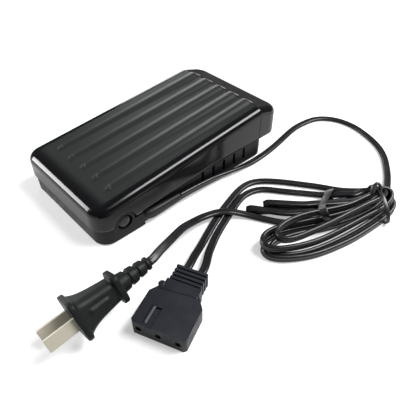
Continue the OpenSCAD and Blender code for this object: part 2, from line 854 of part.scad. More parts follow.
module inner_wires() {
  up = outlet_z + 1.25;
  down = outlet_z - 1.25;
  tail = block_rear + plate_t + wire_d / 2 - 0.02;
  low = floor_z + 2;
  side_run = [block_front + 8.5, block_rear - 8];
  right_wire = [
    [inner_end, outlet_y, up], [inner_end - 2.4, outlet_y + 1.5, up],
    [inner_end - 1.8, outlet_y + 6.5, up - 0.4], [wire_x - 5, lever_y - 6, outlet_z],
    [wire_x - 1, lever_y, low], [wire_x, side_run[0], low], [wire_x, side_run[1], low + 0.4],
    [wire_x - 1.6, block_rear, low + 3],
    [flange_x, block_rear + 4, block_top - 1.4], [bore_x + 6.6, tail + 1.4, terminal_z - 1.4],
    [bore_x + 3.7, tail, terminal_z]];
  left_wire = [
    [inner_end, outlet_y, down], [inner_end - 6, outlet_y + 1, low - 0.6],
    [inner_end - 16, outlet_y + 3.5, low - 0.8],
    [-wire_x / 3.5, outlet_y + 5.5, low - 0.8], [-wire_x / 1.4, outlet_y + 9, low - 0.8],
    [1.4 - wire_x, lever_y - 2, low - 0.6], [-wire_x, side_run[0], low], [-wire_x, side_run[1], low + 0.4],
    [1.6 - wire_x, block_rear - 1, low + 3], [-flange_x, block_rear + 2.4, block_top - 1.4],
    [-bore_x - 6.6, tail + 1, terminal_z - 1.4], [-bore_x - 3.7, tail, terminal_z]];
  color([0.75, 0.12, 0.1]) {
    wire(right_wire, wire_d, [0, 0, 1]);
    wire(left_wire, wire_d, [0, 0, 1]);
  }
}

// rubber elbow that grips the wall and tapers along the lead
module strain_relief() {
  root = [2 * (lead_x - base_half), lead_w + 1.6];
  tip = [lead_t + 0.5, lead_w + 0.9];
  elbow_end = outlet_y + 3.5;
  color([0.05, 0.05, 0.05]) {
    box(inner_half - 1.4, inner_half, outlet_y - 4.5, outlet_y + 4.5, floor_z + 0.1, floor_z + 6.4);
    rod_x(inner_half - 0.5, base_half + 0.5, outlet_y, outlet_z, lead_w + 0.4);
    box(base_half, lead_x + root[0] / 2, outlet_y - 3.5, elbow_end, outlet_z - root[1] / 2,
      outlet_z + root[1] / 2);
    hull() {
      translate([lead_x, elbow_end, outlet_z])
        cube([root[0], 0.1, root[1]], center = true);
      translate([lead_x, relief_end - 0.05, outlet_z])
        cube([tip[0], 0.1, tip[1]], center = true);
    }
  }
}

// Leads

module pedal_lead() {
  color([0.05, 0.05, 0.05])
    flat_lead(pedal_route, pedal_rolls);
}

module plug_lead() {
  color([0.05, 0.05, 0.05])
    flat_lead(plug_route, plug_rolls);
}

module connector_lead_left() {
  color([0.05, 0.05, 0.05])
    flat_lead(left_route, level(left_route));
}

module connector_lead_right() {
  color([0.05, 0.05, 0.05])
    flat_lead(right_route, level(right_route));
}

module lead_hank() {
  color([0.05, 0.05, 0.05])
    translate([0, 0, tie_t])
      linear_extrude(height = hank_h) {
        tapered_outline(hank_low, hank_low_r, hank_high, hank_high_r);
        tapered_outline(wedge_tip, wedge_tip_r, wedge_mid, wedge_root_r);
        tapered_outline(wedge_mid, wedge_root_r, wedge_root, wedge_root_r);
      }
}

// a flat strip round the hank, as four straight pieces
module strip_round(at, turn, wide, strip) {
  translate([at[0], at[1], 0])
    rotate([0, 0, turn])
      difference() {
        translate([-strip / 2, -wide / 2 - tie_t, 0])
          cube([strip, wide + 2 * tie_t, hank_h + 2 * tie_t]);
        translate([-strip, -wide / 2, tie_t])
          cube([2 * strip, wide, hank_h]);
      }
}

module hank_band() {
  color([0.04, 0.04, 0.04])
    strip_round(band_at, band_turn, band_reach, band_w);
}

module twist_tie() {
  knot = twist_at + (twist_reach / 2 + 1.9) * [-sin(twist_turn), cos(twist_turn)];
  color([0.04, 0.04, 0.04]) {
    strip_round(twist_at, twist_turn, twist_reach, twist_w);
    rod_z(knot, hank_h / 2, hank_h + tie_t, 2.6);
  }
}

// Plug

module on_plug() {
  translate([plug_at[0], plug_at[1], plug_axis_z])
    rotate([plug_tilt, 0, 0])
      rotate([0, plug_roll, 0])
        children();
}

// a rounded slab across the plug axis, from y0 to y1
module slab_y(y0, y1, w, h, r) {
  translate([0, y1, 0])
    rotate([90, 0, 0])
      linear_extrude(height = y1 - y0)
        round_rect(w, h, r);
}

module blade(z) {
  translate([0, 0, z - blade_t / 2])
    linear_extrude(height = blade_t)
      polygon([
        [-blade_w / 2, blade_root], [blade_w / 2, blade_root], [blade_w / 2, 0.5 - blade_l],
        [blade_w / 2 - 0.5, -blade_l], [0.5 - blade_w / 2, -blade_l], [-blade_w / 2, 0.5 - blade_l]]);
}

module blades() {
  blade(blade_pitch / 2);
  blade(-blade_pitch / 2);
}

// tail of the plug with three grooves, thinner toward the lead
module ribbed_tail() {
  length = relief_to - relief_from;
  groove_w = 1.2;
  groove_deep = 0.8;
  grooves = [4.4, 9.4, 14.4];
  function tail_r(d) = 5.2 - 0.1 * d;
  edge = [for (g = grooves) each [
    [tail_r(g), g], [tail_r(g) - groove_deep, g], [tail_r(g) - groove_deep, g + groove_w],
    [tail_r(g + groove_w), g + groove_w]]];
  translate([0, relief_from, 0])
    rotate([-90, 0, 0])
      rotate_extrude()
        polygon(concat([[0, 0], [tail_r(0), 0]], edge, [[tail_r(length), length], [0, length]]));
}

module plug_body() {
  color([0.1, 0.1, 0.11])
    on_plug()
      difference() {
        union() {
          slab_y(0, 3, flange_w, flange_h, flange_r);
          hull() {
            slab_y(2.9, 3.1, 16, 15.5, 4);
            slab_y(collar_from - 0.1, collar_from + 0.1, 12, 11, 4);
          }
          slab_y(collar_from, relief_from, 16, 14, 3.5);
          ribbed_tail();
          box(-1, 1, 7, 17, 0, 7.7);
        }
        blades();
      }
}

module plug_blades() {
  color([0.75, 0.7, 0.55])
    on_plug()
      blades();
}

// Connector

module on_connector() {
  translate([connector_at[0], connector_at[1], 0])
    rotate([0, 0, connector_turn])
      children();
}

module at_holes() {
  for (k = [-1:1])
    translate([0, k * hole_pitch, connector_h / 2])
      rotate([0, 90, 0])
        children();
}

module connector_body() {
  w = connector_half;
  mid = connector_h / 2;
  color([0.07, 0.07, 0.09])
    on_connector()
      difference() {
        union() {
          linear_extrude(height = connector_h)
            polygon([
              [10, -9.2], [13.5, -9.2], [20, -w], [connector_l - 1.2, -w], [connector_l, 1.2 - w],
              [connector_l, w - 1.2], [connector_l - 1.2, w], [20, w], [13.5, 9.2], [10, 9.2]]);
          box(0, 10.5, -7.4, 7.4, mid - 3.6, mid + 3.6);
          for (k = [0:3])
            box(0.2 + 2.5 * k, 1.7 + 2.5 * k, -8.4, 8.4, mid - 4.6, mid + 4.6);
        }
        at_holes() {
          translate([0, 0, connector_l - 1 - sleeve_l]) {
            cylinder(d = hole_d, h = far);
            cylinder(d = hole_d + 2 * sleeve_wall, h = sleeve_l);
          }
        }
        box(27, connector_l + 1, -6, -3.2, connector_h - 1, far);
      }
}

module connector_sleeves() {
  color([0.85, 0.68, 0.3])
    on_connector()
      at_holes()
        translate([0, 0, connector_l - 1 - sleeve_l])
          difference() {
            cylinder(d = hole_d + 2 * sleeve_wall, h = sleeve_l);
            translate([0, 0, -1])
              cylinder(d = hole_d, h = sleeve_l + 2);
          }
}

base_tray();
treadle();
pivot_pins();
pivot_clips();
rubber_feet();
foot_screws();
bump_stops();
return_spring();
ceramic_block();
block_screws();
carbon_discs();
end_contacts();
terminal_screws();
terminal_nuts();
lever_pin();
contact_lever();
contact_buttons();
lever_spring();
adjusting_screw();
adjusting_nut();
capacitor();
capacitor_leads();
cord_clamp();
clamp_screws();
inner_lead();
inner_wires();
strain_relief();
pedal_lead();
plug_lead();
connector_lead_left();
connector_lead_right();
lead_hank();
hank_band();
twist_tie();
plug_body();
plug_blades();
connector_body();
connector_sleeves();
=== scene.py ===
"""Looks and finishes of a sewing machine foot pedal with its leads, plug and connector."""
import json

import bpy
import numpy as np
from mathutils import Matrix


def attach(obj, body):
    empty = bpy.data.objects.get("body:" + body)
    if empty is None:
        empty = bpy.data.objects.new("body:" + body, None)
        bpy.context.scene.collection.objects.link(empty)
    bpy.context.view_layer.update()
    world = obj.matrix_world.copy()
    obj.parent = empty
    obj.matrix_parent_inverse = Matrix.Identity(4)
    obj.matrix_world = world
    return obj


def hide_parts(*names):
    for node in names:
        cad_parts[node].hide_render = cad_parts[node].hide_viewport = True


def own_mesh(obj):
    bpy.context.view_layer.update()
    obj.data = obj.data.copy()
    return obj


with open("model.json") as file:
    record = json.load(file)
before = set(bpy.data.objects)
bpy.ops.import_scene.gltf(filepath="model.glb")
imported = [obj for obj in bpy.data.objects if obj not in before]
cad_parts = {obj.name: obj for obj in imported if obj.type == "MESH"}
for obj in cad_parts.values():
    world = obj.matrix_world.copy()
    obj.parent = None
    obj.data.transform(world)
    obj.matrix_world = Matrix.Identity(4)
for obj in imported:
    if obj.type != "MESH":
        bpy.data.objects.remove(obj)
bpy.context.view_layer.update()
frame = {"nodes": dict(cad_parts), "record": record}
nodes = frame["nodes"]
MM = 0.001


def unit(v):
    """Each row divided by its own length."""
    v = np.asarray(v, float)
    return v / np.linalg.norm(v, axis=-1, keepdims=True)


# Camera

def set_camera():
    """A camera at the eye point, its axes turned by a small roll about the line of sight."""
    eye = np.array([188.4, -136.95, 179.4]) * MM
    right = np.array([0.699, 0.715, 0.0])
    up = np.array([-0.4946, 0.4832, 0.7224])
    roll = np.radians(1.20)
    level = unit(right * np.cos(roll) + up * np.sin(roll))
    back = unit(np.cross(level, up * np.cos(roll) - right * np.sin(roll)))
    upright = np.cross(back, level)
    lens = bpy.data.cameras.new("camera")
    lens.sensor_fit = "HORIZONTAL"
    lens.sensor_width = 36.0
    lens.lens = 36.86
    lens.clip_start = 0.01
    camera = bpy.data.objects.new("camera", lens)
    bpy.context.scene.collection.objects.link(camera)
    place = np.eye(4)
    place[:3, :3] = np.stack([level, upright, back], axis=1)
    place[:3, 3] = eye
    camera.matrix_world = Matrix(place.tolist())
    bpy.context.scene.camera = camera


set_camera()


# Materials

# the broad cloud's scale as a share of the grain's, and the depth of the grain in metres
CLOUD_SHARE, GRAIN_DEEP = 0.06, 0.0001


def grained(name, colour, tint, rough, rough_spread, scale, bump, metal=0.0, level=0.5):
    """A moulded or plated finish. A broad cloud of noise mixes colour and tint, the same cloud moves the
    roughness by rough_spread about rough, and a fine grain at scale (marks per metre) gives the bump."""
    material = bpy.data.materials.new(name)
    material.use_nodes = True
    tree = material.node_tree
    shader = tree.nodes["Principled BSDF"]
    shader.inputs["Metallic"].default_value = metal
    shader.inputs["Specular IOR Level"].default_value = level
    where = tree.nodes.new("ShaderNodeTexCoord")
    cloud = tree.nodes.new("ShaderNodeTexNoise")
    cloud.inputs["Scale"].default_value = scale * CLOUD_SHARE
    cloud.inputs["Detail"].default_value = 5.0
    grain = tree.nodes.new("ShaderNodeTexNoise")
    grain.inputs["Scale"].default_value = scale
    grain.inputs["Detail"].default_value = 3.0
    for noise in (cloud, grain):
        tree.links.new(where.outputs["Object"], noise.inputs["Vector"])
    mix = tree.nodes.new("ShaderNodeMix")
    mix.data_type = "RGBA"
    mix.inputs[6].default_value = (*colour, 1.0)
    mix.inputs[7].default_value = (*tint, 1.0)
    tree.links.new(cloud.outputs["Fac"], mix.inputs[0])
    tree.links.new(mix.outputs[2], shader.inputs["Base Color"])
    # most of the noise lies between these two values
    polish = tree.nodes.new("ShaderNodeMapRange")
    polish.inputs["From Min"].default_value = 0.3
    polish.inputs["From Max"].default_value = 0.7
    polish.inputs["To Min"].default_value = rough - rough_spread
    polish.inputs["To Max"].default_value = rough + rough_spread
    tree.links.new(cloud.outputs["Fac"], polish.inputs["Value"])
    tree.links.new(polish.outputs["Result"], shader.inputs["Roughness"])
    relief = tree.nodes.new("ShaderNodeBump")
    relief.inputs["Strength"].default_value = bump
    relief.inputs["Distance"].default_value = GRAIN_DEEP
    tree.links.new(grain.outputs["Fac"], relief.inputs["Height"])
    tree.links.new(relief.outputs["Normal"], shader.inputs["Normal"])
    return material


finishes = {
    "base_plastic": grained("base satin black", (0.004, 0.004, 0.005), (0.006, 0.006, 0.007),
                            0.36, 0.06, 2600, 0.20, level=0.12),
    "gloss_black": grained("treadle gloss black", (0.002, 0.002, 0.0025), (0.003, 0.003, 0.0035),
                           0.15, 0.03, 900, 0.02, level=0.22),
    "steel": grained("plated steel", (0.62, 0.62, 0.63), (0.54, 0.54, 0.56),
                     0.30, 0.07, 1800, 0.10, metal=1.0),
    "blackened_steel": grained("blackened steel", (0.006, 0.006, 0.007), (0.010, 0.010, 0.011),
                               0.28, 0.06, 1800, 0.10, level=0.25),
    "rubber": grained("soft black rubber", (0.008, 0.008, 0.008), (0.013, 0.013, 0.013),
                      0.50, 0.08, 2200, 0.30, level=0.25),
    "ceramic": grained("unglazed ceramic", (0.80, 0.77, 0.69), (0.70, 0.67, 0.60),
                       0.70, 0.08, 1500, 0.35),
    "carbon": grained("pressed carbon", (0.030, 0.030, 0.033), (0.055, 0.055, 0.060),
                      0.50, 0.10, 3000, 0.35),
    "brass": grained("stamped brass", (0.72, 0.55, 0.25), (0.60, 0.44, 0.18),
                     0.32, 0.08, 1600, 0.12, metal=1.0),
    "capacitor_case": grained("dipped capacitor", (0.62, 0.45, 0.10), (0.52, 0.36, 0.07),
                              0.25, 0.06, 700, 0.12),
    "wire_plastic": grained("red wire cover", (0.42, 0.05, 0.04), (0.34, 0.04, 0.03),
                            0.38, 0.06, 1500, 0.10),
    "lead_plastic": grained("lead satin black", (0.005, 0.005, 0.006), (0.009, 0.009, 0.010),
                            0.30, 0.05, 2400, 0.12, level=0.26),
    "tie_plastic": grained("tie satin black", (0.008, 0.008, 0.008), (0.014, 0.014, 0.014),
                           0.32, 0.06, 2400, 0.15, level=0.40),
    "plug_plastic": grained("plug matt dark grey", (0.0050, 0.0062, 0.0062), (0.0080, 0.0092, 0.0092),
                            0.46, 0.06, 2800, 0.35, level=0.12),
    "blade_brass": grained("blade pale nickel", (0.44, 0.41, 0.335), (0.36, 0.335, 0.27),
                           0.38, 0.07, 1500, 0.10, metal=0.3),
    "connector_plastic": grained("connector matt blue black", (0.0075, 0.0085, 0.0115),
                                 (0.0115, 0.0125, 0.0165), 0.46, 0.06, 2800, 0.30, level=0.18),
}


# the ribbed top: where its edges start and end in metres, and its finish
PANEL_SIDE, PANEL_FRONT, PANEL_REAR = (0.0345, 0.0320), (-0.0675, -0.0600), (0.0545, 0.0525)
PANEL_ROUGH, PANEL_COLOUR = 0.46, (0.0070, 0.0088, 0.0082, 1.0)
BORDER_BUMP, PANEL_BUMP = 0.02, 0.22


def grain_the_top(material):
    """Give the treadle's ribbed top a finer, duller grain than its border: a mask of object x and y, soft at
    its edges, blends the roughness, the colour and the strength of the bump."""
    tree = material.node_tree
    shader = tree.nodes["Principled BSDF"]
    where = tree.nodes.new("ShaderNodeTexCoord")
    split = tree.nodes.new("ShaderNodeSeparateXYZ")
    tree.links.new(where.outputs["Object"], split.inputs[0])
    across = tree.nodes.new("ShaderNodeMath")
    across.operation = "ABSOLUTE"
    tree.links.new(split.outputs["X"], across.inputs[0])
    along = split.outputs["Y"]
    sides = ((across.outputs[0], PANEL_SIDE), (along, PANEL_FRONT), (along, PANEL_REAR))
    mask = None
    for source, (outer, inner) in sides:
        edge = tree.nodes.new("ShaderNodeMapRange")
        edge.interpolation_type = "SMOOTHSTEP"
        edge.inputs["From Min"].default_value = outer
        edge.inputs["From Max"].default_value = inner
        tree.links.new(source, edge.inputs["Value"])
        if mask is None:
            mask = edge.outputs["Result"]
            continue
        both = tree.nodes.new("ShaderNodeMath")
        both.operation = "MULTIPLY"
        tree.links.new(mask, both.inputs[0])
        tree.links.new(edge.outputs["Result"], both.inputs[1])
        mask = both.outputs[0]
    # a Mix node's sockets for one number are 2, 3 and output 0, and for a colour 6, 7 and output 2
    for name, kind, value, low, high, out in (("Roughness", "FLOAT", PANEL_ROUGH, 2, 3, 0),
                                              ("Base Color", "RGBA", PANEL_COLOUR, 6, 7, 2)):
        blend = tree.nodes.new("ShaderNodeMix")
        blend.data_type = kind
        before = shader.inputs[name].links[0].from_socket
        tree.links.new(mask, blend.inputs[0])
        tree.links.new(before, blend.inputs[low])
        blend.inputs[high].default_value = value
        tree.links.new(blend.outputs[out], shader.inputs[name])
    relief = shader.inputs["Normal"].links[0].from_node
    amount = tree.nodes.new("ShaderNodeMapRange")
    amount.inputs["To Min"].default_value = BORDER_BUMP
    amount.inputs["To Max"].default_value = PANEL_BUMP
    tree.links.new(mask, amount.inputs["Value"])
    tree.links.new(amount.outputs["Result"], relief.inputs["Strength"])


grain_the_top(finishes["gloss_black"])

for part in frame["record"]["subparts"]:
    node = nodes[part["node"]]
    node.data.materials.clear()
    node.data.materials.append(finishes[part["material_slot"]])


# Surfaces

def make_piece(name, points, faces, finish, body):
    """A smooth mesh piece from points in millimetres and a list of faces, with its finish, on its body."""
    mesh = bpy.data.meshes.new(name)
    mesh.from_pydata((np.asarray(points) * MM).tolist(), [], faces)
    mesh.polygons.foreach_set("use_smooth", np.ones(len(mesh.polygons), bool))
    mesh.materials.append(finishes[finish])
    mesh.update()
    piece = bpy.data.objects.new(name, mesh)
    bpy.context.scene.collection.objects.link(piece)
    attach(piece, body)
    return piece


def grid_faces(rows, cols, loop=False, start=0):
    """Four-cornered faces between neighbours of a grid; loop joins the last column to the first."""
    i = np.arange(rows - 1)[:, None]
    j = np.arange(cols if loop else cols - 1)[None, :]
    k = (j + 1) % cols
    quads = np.stack([i * cols + j, i * cols + k, (i + 1) * cols + k, (i + 1) * cols + j], axis=-1)
    return (quads.reshape(-1, 4) + start).tolist()


def tube_faces(rows, cols, flip=False):
    """Faces of a closed tube with a section of cols points in each row, both ends capped; flip turns them the
    other way out."""
    caps = [list(reversed(range(cols))), [(rows - 1) * cols + k for k in range(cols)]]
    faces = grid_faces(rows, cols, loop=True) + caps
    return [f[::-1] for f in faces] if flip else faces


def smooth_line(points, step):
    """A natural cubic spline through the points, its knots spaced by the square root of each chord, laid
    out again at an even step. Columns past the third, such as a roll, go along with it."""
    p = np.asarray(points, float)
    n = len(p)
    h = np.sqrt(np.linalg.norm(np.diff(p[:, :3], axis=0), axis=1))
    t = np.concatenate([[0.0], np.cumsum(h)])
    system = np.eye(n)
    inner = np.arange(1, n - 1)
    system[inner, inner - 1] = h[:-1]
    system[inner, inner] = 2 * (h[:-1] + h[1:])
    system[inner, inner + 1] = h[1:]
    slope = np.diff(p, axis=0) / h[:, None]
    load = np.zeros_like(p)
    load[1:-1] = 6 * np.diff(slope, axis=0)
    bend = np.linalg.solve(system, load)
    per_knot = 40
    at = np.linspace(0, t[-1], per_knot * n)
    k = np.clip(np.searchsorted(t, at, side="right") - 1, 0, n - 2)
    a = ((t[k + 1] - at) / h[k])[:, None]
    b = 1 - a
    line = (a * p[k] + b * p[k + 1]
            + ((a ** 3 - a) * bend[k] + (b ** 3 - b) * bend[k + 1]) * (h[k] ** 2)[:, None] / 6)
    run = np.concatenate([[0.0], np.cumsum(np.linalg.norm(np.diff(line[:, :3], axis=0), axis=1))])
    even = np.linspace(0, run[-1], max(2, int(round(run[-1] / step)) + 1))
    return np.stack([np.interp(even, run, line[:, c]) for c in range(p.shape[1])], axis=1)


def axes_along(line, roll):
    """Side and upper axes of a section carried along a line: the side axis is level, keeps its sense where
    the line folds straight up, and then turns by roll degrees about the line."""
    ahead = unit(np.gradient(line, axis=0))
    level = np.cross(ahead, [0.0, 0.0, 1.0])
    size = np.linalg.norm(level, axis=1)
    steepest = 0.4
    good = np.flatnonzero(size > steepest)
    kept = level[good] / size[good, None]
    sense = np.sign(np.sum(kept[1:] * kept[:-1], axis=1))
    kept = kept * np.cumprod(np.concatenate([[1.0], sense]))[:, None]
    every = np.arange(len(line))
    side = np.stack([np.interp(every, good, kept[:, c]) for c in range(3)], axis=1)
    side = unit(side - np.sum(side * ahead, axis=1, keepdims=True) * ahead)
    upper = np.cross(side, ahead)
    r = np.radians(roll)[:, None]
    return side * np.cos(r) + upper * np.sin(r), upper * np.cos(r) - side * np.sin(r)


def carried(section, line, side, upper):
    """Points of a flat section set across each point of a line."""
    return (line[:, None, :] + section[None, :, :1] * side[:, None, :]
            + section[None, :, 1:] * upper[:, None, :])


def swept(name, section, line, side, upper, finish, body):
    """A closed section carried along an open line, both ends capped."""
    points = carried(section, line, side, upper)
    return make_piece(name, points.reshape(-1, 3), tube_faces(*points.shape[:2], flip=True), finish, body)


# Leads

# width and thickness of the lead, its waist as a share of the thickness, and the height of its middle on
# the floor
LEAD_W, LEAD_T, WAIST = 4.6, 2.5, 0.76
FLAT = 1.3
# the step of a lead's line, and where the points of a half turn lie
LEAD_STEP = 1.4
HALF_TURN = np.radians([45, 90, 135])


def twin_section():
    """Two round cores side by side, each most of a circle, joined across a shallow waist."""
    r = LEAD_T / 2
    off = LEAD_W / 2 - r
    a = np.radians(np.linspace(-104, 104, 12))
    right = np.stack([off + r * np.cos(a), r * np.sin(a)], axis=1)
    return np.concatenate([right, [[0.0, r * WAIST]], -right, [[0.0, -r * WAIST]]])


# routes: x, y, z of the lead's middle and its roll in degrees
pedal_route = [
    (38.4, -16, 6.4, 90), (38.4, -6, 6, 90), (38.4, 4, 5.2, 88), (38.6, 14, 4.3, 78), (39.2, 22, 3.6, 60),
    (39.9, 30, 2.9, 40), (40.3, 38, 2.1, 18), (40.4, 47, FLAT, 0), (40.2, 56, FLAT, 0), (39.4, 66, FLAT, 0),
    (38, 76, FLAT, 0), (36.2, 86, FLAT, 0), (34.6, 95, FLAT, 0), (33.8, 104, FLAT, 0), (34.4, 113, FLAT, 0),
    (36.5, 122.3, FLAT, 0), (41.6, 129.5, FLAT, 0), (48.8, 134.1, FLAT, 0), (57.6, 136.1, FLAT, 0),
    (66.9, 135.5, FLAT, 0), (76, 132.9, FLAT, 0), (84.8, 129.2, FLAT, 0), (92.9, 124.0, FLAT, 0),
    (100, 117.1, FLAT, 0), (106.1, 109.0, FLAT, 0), (111.5, 100.8, FLAT, 0)]
# four turns of the hank, the lead standing on its edge: two nested on the floor and two above them
hank_turns = [
    (116.0, 92.5, FLAT, 0), (119.6, 85.0, FLAT, 4), (120.9, 76.4, 2.1, 40), (120.1, 67.0, 2.4, 90),
    (118.6, 58, 2.4, 90), (116.4, 49.0, 2.4, 90), (111.3, 36.1, 2.4, 90), (105.3, 24.9, 2.4, 90),
    (99.5, 13.9, 2.4, 90), (96.0, 5.0, 2.4, 90), (95.4, -2.6, 2.4, 90), (98.2, -8.0, 2.4, 90),
    (103.0, -9.4, 2.4, 90), (108.8, -6.0, 2.4, 90), (115.4, 2.2, 2.4, 90), (121.0, 12.9, 2.4, 90),
    (126.1, 29.2, 2.4, 90), (128.2, 39, 2.4, 90), (129.6, 49.3, 2.4, 90), (130.5, 58, 2.4, 90),
    (130.9, 66, 2.6, 90), (130.4, 72.6, 3.4, 90), (127.6, 77.2, 4.4, 90), (123.8, 76.6, 4.6, 90),
    (122.4, 71.4, 3.4, 90), (121.6, 63.2, 2.4, 90), (118.0, 46.4, 2.4, 90), (113.2, 33.4, 2.4, 90),
    (107.5, 22.0, 2.4, 90), (102.7, 11.7, 2.4, 90), (99.8, 3.8, 2.4, 90), (99.4, -2.2, 2.4, 90),
    (102.0, -6.0, 2.4, 90), (106.2, -5.2, 2.4, 90), (111.2, 0.0, 2.4, 90), (116.8, 10.2, 2.4, 90),
    (121.2, 23.8, 2.4, 90), (124.6, 39.6, 2.4, 90), (126.8, 55.8, 2.4, 90), (127.6, 66.0, 3.0, 90),
    (127.8, 73.0, 4.4, 90), (125.2, 78.4, 5.8, 90), (121.0, 76.6, 6.6, 90), (119.2, 66.4, 7, 90),
    (117.6, 57.4, 7, 90), (115.5, 48.4, 7, 90), (110.4, 35.6, 7, 90), (104.6, 24.5, 7, 90),
    (98.9, 13.6, 7, 90), (95.0, 4.6, 7, 90), (94.2, -2.6, 7, 90), (96.9, -7.6, 7, 90),
    (101.6, -8.2, 7, 90), (106.8, -4.0, 7, 90), (112.5, 5.2, 7, 90), (117.2, 16.7, 7, 90),
    (121.4, 34.5, 7, 90), (123.4, 45, 7, 90), (125.4, 55.2, 7, 90), (127.2, 64.6, 7.2, 90),
    (127.2, 72.4, 8.4, 90), (124.0, 77.4, 9.8, 90), (119.8, 75.0, 11, 90), (118.3, 65.3, 11.6, 90),
    (116.6, 56.4, 11.6, 90), (114.6, 47.8, 11.6, 90), (109.2, 35.8, 11.6, 90), (103.4, 24.7, 11.6, 90),
    (99.7, 14.2, 11.6, 90), (98.7, 5.8, 11.6, 90), (100.4, -0.4, 11.6, 90), (104.6, -2.0, 11.6, 90),
    (108.8, 2.8, 11.6, 90), (112.1, 13.1, 11.6, 90), (115.5, 26.8, 11.6, 90), (118.5, 41.7, 11.6, 90),
    (121.8, 57.4, 11.6, 88), (123.4, 66, 11.6, 70), (122.2, 72.6, 11.0, 40), (117.8, 74.4, 9.4, 14),
    (112.2, 71.4, 7.0, 2), (106.0, 67.8, 4.8, 0), (97.8, 64.0, 2.6, 0), (87.3, 59.0, 1.5, 0),
    (77, 52.0, FLAT, 0)]
left_route = [
    (69.5, 46.5, FLAT, 0), (62.6, 40.6, FLAT, 0), (57.4, 34.8, FLAT, 0), (54.6, 28.5, FLAT, 0),
    (54.4, 21, FLAT, 0), (56.2, 13, FLAT, 0), (58.6, 5, FLAT, 0), (61.4, -3.5, FLAT, 0),
    (64.4, -11.5, FLAT, 0), (67.8, -19.5, FLAT, 0), (71.4, -27.5, FLAT, 0), (74.4, -33.7, 2.2, 0),
    (77, -38.9, 3.5, 0), (79.9, -44.1, 4.5, 0), (82.37, -49.96, 4.75, 0)]
right_route = [
    (89.88, -46.68, 4.75, 0), (87.3, -41.1, 4.5, 0), (84.1, -36.4, 3.5, 0), (80.3, -31.5, 2.2, 0),
    (76.9, -26.1, FLAT, 0), (73.7, -20.1, FLAT, 0), (70.6, -13.1, FLAT, 0), (67.8, -6.1, FLAT, 0),
    (65.0, 0.8, FLAT, 0), (62.5, 8.2, FLAT, 0), (60.5, 15.7, FLAT, 0), (60.8, 23.1, FLAT, 0),
    (64.0, 30.1, FLAT, 0), (70.2, 35.6, FLAT, 0), (77.4, 41.2, FLAT, 0), (86.4, 48.6, FLAT, 0),
    (94.2, 54.2, 1.9, 0), (100.6, 58.0, 4.0, 0), (105.6, 61.4, 5.8, 0)]
plug_route = [
    (97.6, 25.4, FLAT, 0), (94.4, 19.4, FLAT, 0), (89.2, 15.2, FLAT, 0), (80.6, 10.2, FLAT, 0),
    (72.4, 5.0, 2.2, 0), (66.0, -1.6, 4.1, 0), (62.0, -7.4, 4.3, 0), (60.4, -12.9, 4.8, 2),
    (60.0, -19.2, 6.0, 5), (60.9, -26.5, 8.1, 9), (63.0, -34.6, 11.2, 15), (66.4, -43.6, 13.8, 21),
    (69.4, -51.5, 15.8, 27), (72.0, -58.8, 17.0, 31), (73.3, -62.45, 17.2, 32), (73.4, -65.61, 16.93, 32)]

# the flat bundle of the mains lead: its middle line from the pointed end to the far end
bundle_line = smooth_line([(71.2, 8.6), (78.7, 16.1), (84.8, 22.7), (92.9, 31.8), (100.0, 41.6),
                           (105.0, 49.6), (109.4, 58.0), (112.6, 67.4)] @ np.eye(2, 3), 0.5)
# heights of its three layers, and how far its lanes lie from the middle
LOW, MID, HIGH = FLAT, 3.95, 6.6
LANE, WIDE, NARROW = 2.4, 3.6, 0.6


def bundle_at(share):
    """Place, direction and right-hand direction of the bundle's middle line at shares of its length."""
    every = np.linspace(0, 1, len(bundle_line))
    both = np.column_stack([bundle_line[:, :2], unit(np.gradient(bundle_line[:, :2], axis=0))])
    found = np.stack([np.interp(share, every, both[:, c]) for c in range(4)], axis=-1)
    ahead = unit(found[..., 2:])
    return found[..., :2], ahead, np.stack([ahead[..., 1], -ahead[..., 0]], axis=-1)


def lane(start, end, off_start, off_end, z_start, z_end):
    """Points along the bundle between two shares of its length, moved sideways by an offset that eases from
    one value to the other, as the height does."""
    per_length = 11
    count = max(3, int(abs(end - start) * per_length))
    share = np.linspace(start, end, count)
    ease = (share - start) / (end - start)
    ease = ease * ease * (3 - 2 * ease)
    spot, _, away = bundle_at(share)
    return np.column_stack([spot + away * (off_start + (off_end - off_start) * ease)[:, None],
                            z_start + (z_end - z_start) * ease, np.zeros(count)])


def fold(share, off, z_from, z_to, sense):
    """Half a turn in an upright plane at the end of a lane, three points between the two heights."""
    spot, ahead, away = bundle_at(share)
    out = spot + away * off + sense * ahead * (abs(z_to - z_from) / 2 * np.sin(HALF_TURN))[:, None]
    z = (z_from + z_to) / 2 + (z_from - z_to) / 2 * np.cos(HALF_TURN)
    return np.column_stack([out, z, np.zeros(3)])


def level_turn(share, off_from, off_to, z):
    """Half a turn on the level from one lane to the next, three points round a half circle."""
    spot, ahead, away = bundle_at(share)
    middle, r = (off_from + off_to) / 2, (off_from - off_to) / 2
    out = (spot + away * (middle + r * np.cos(HALF_TURN))[:, None]
           + ahead * (abs(r) * np.sin(HALF_TURN))[:, None])
    return np.column_stack([out, np.full(3, z), np.zeros(3)])


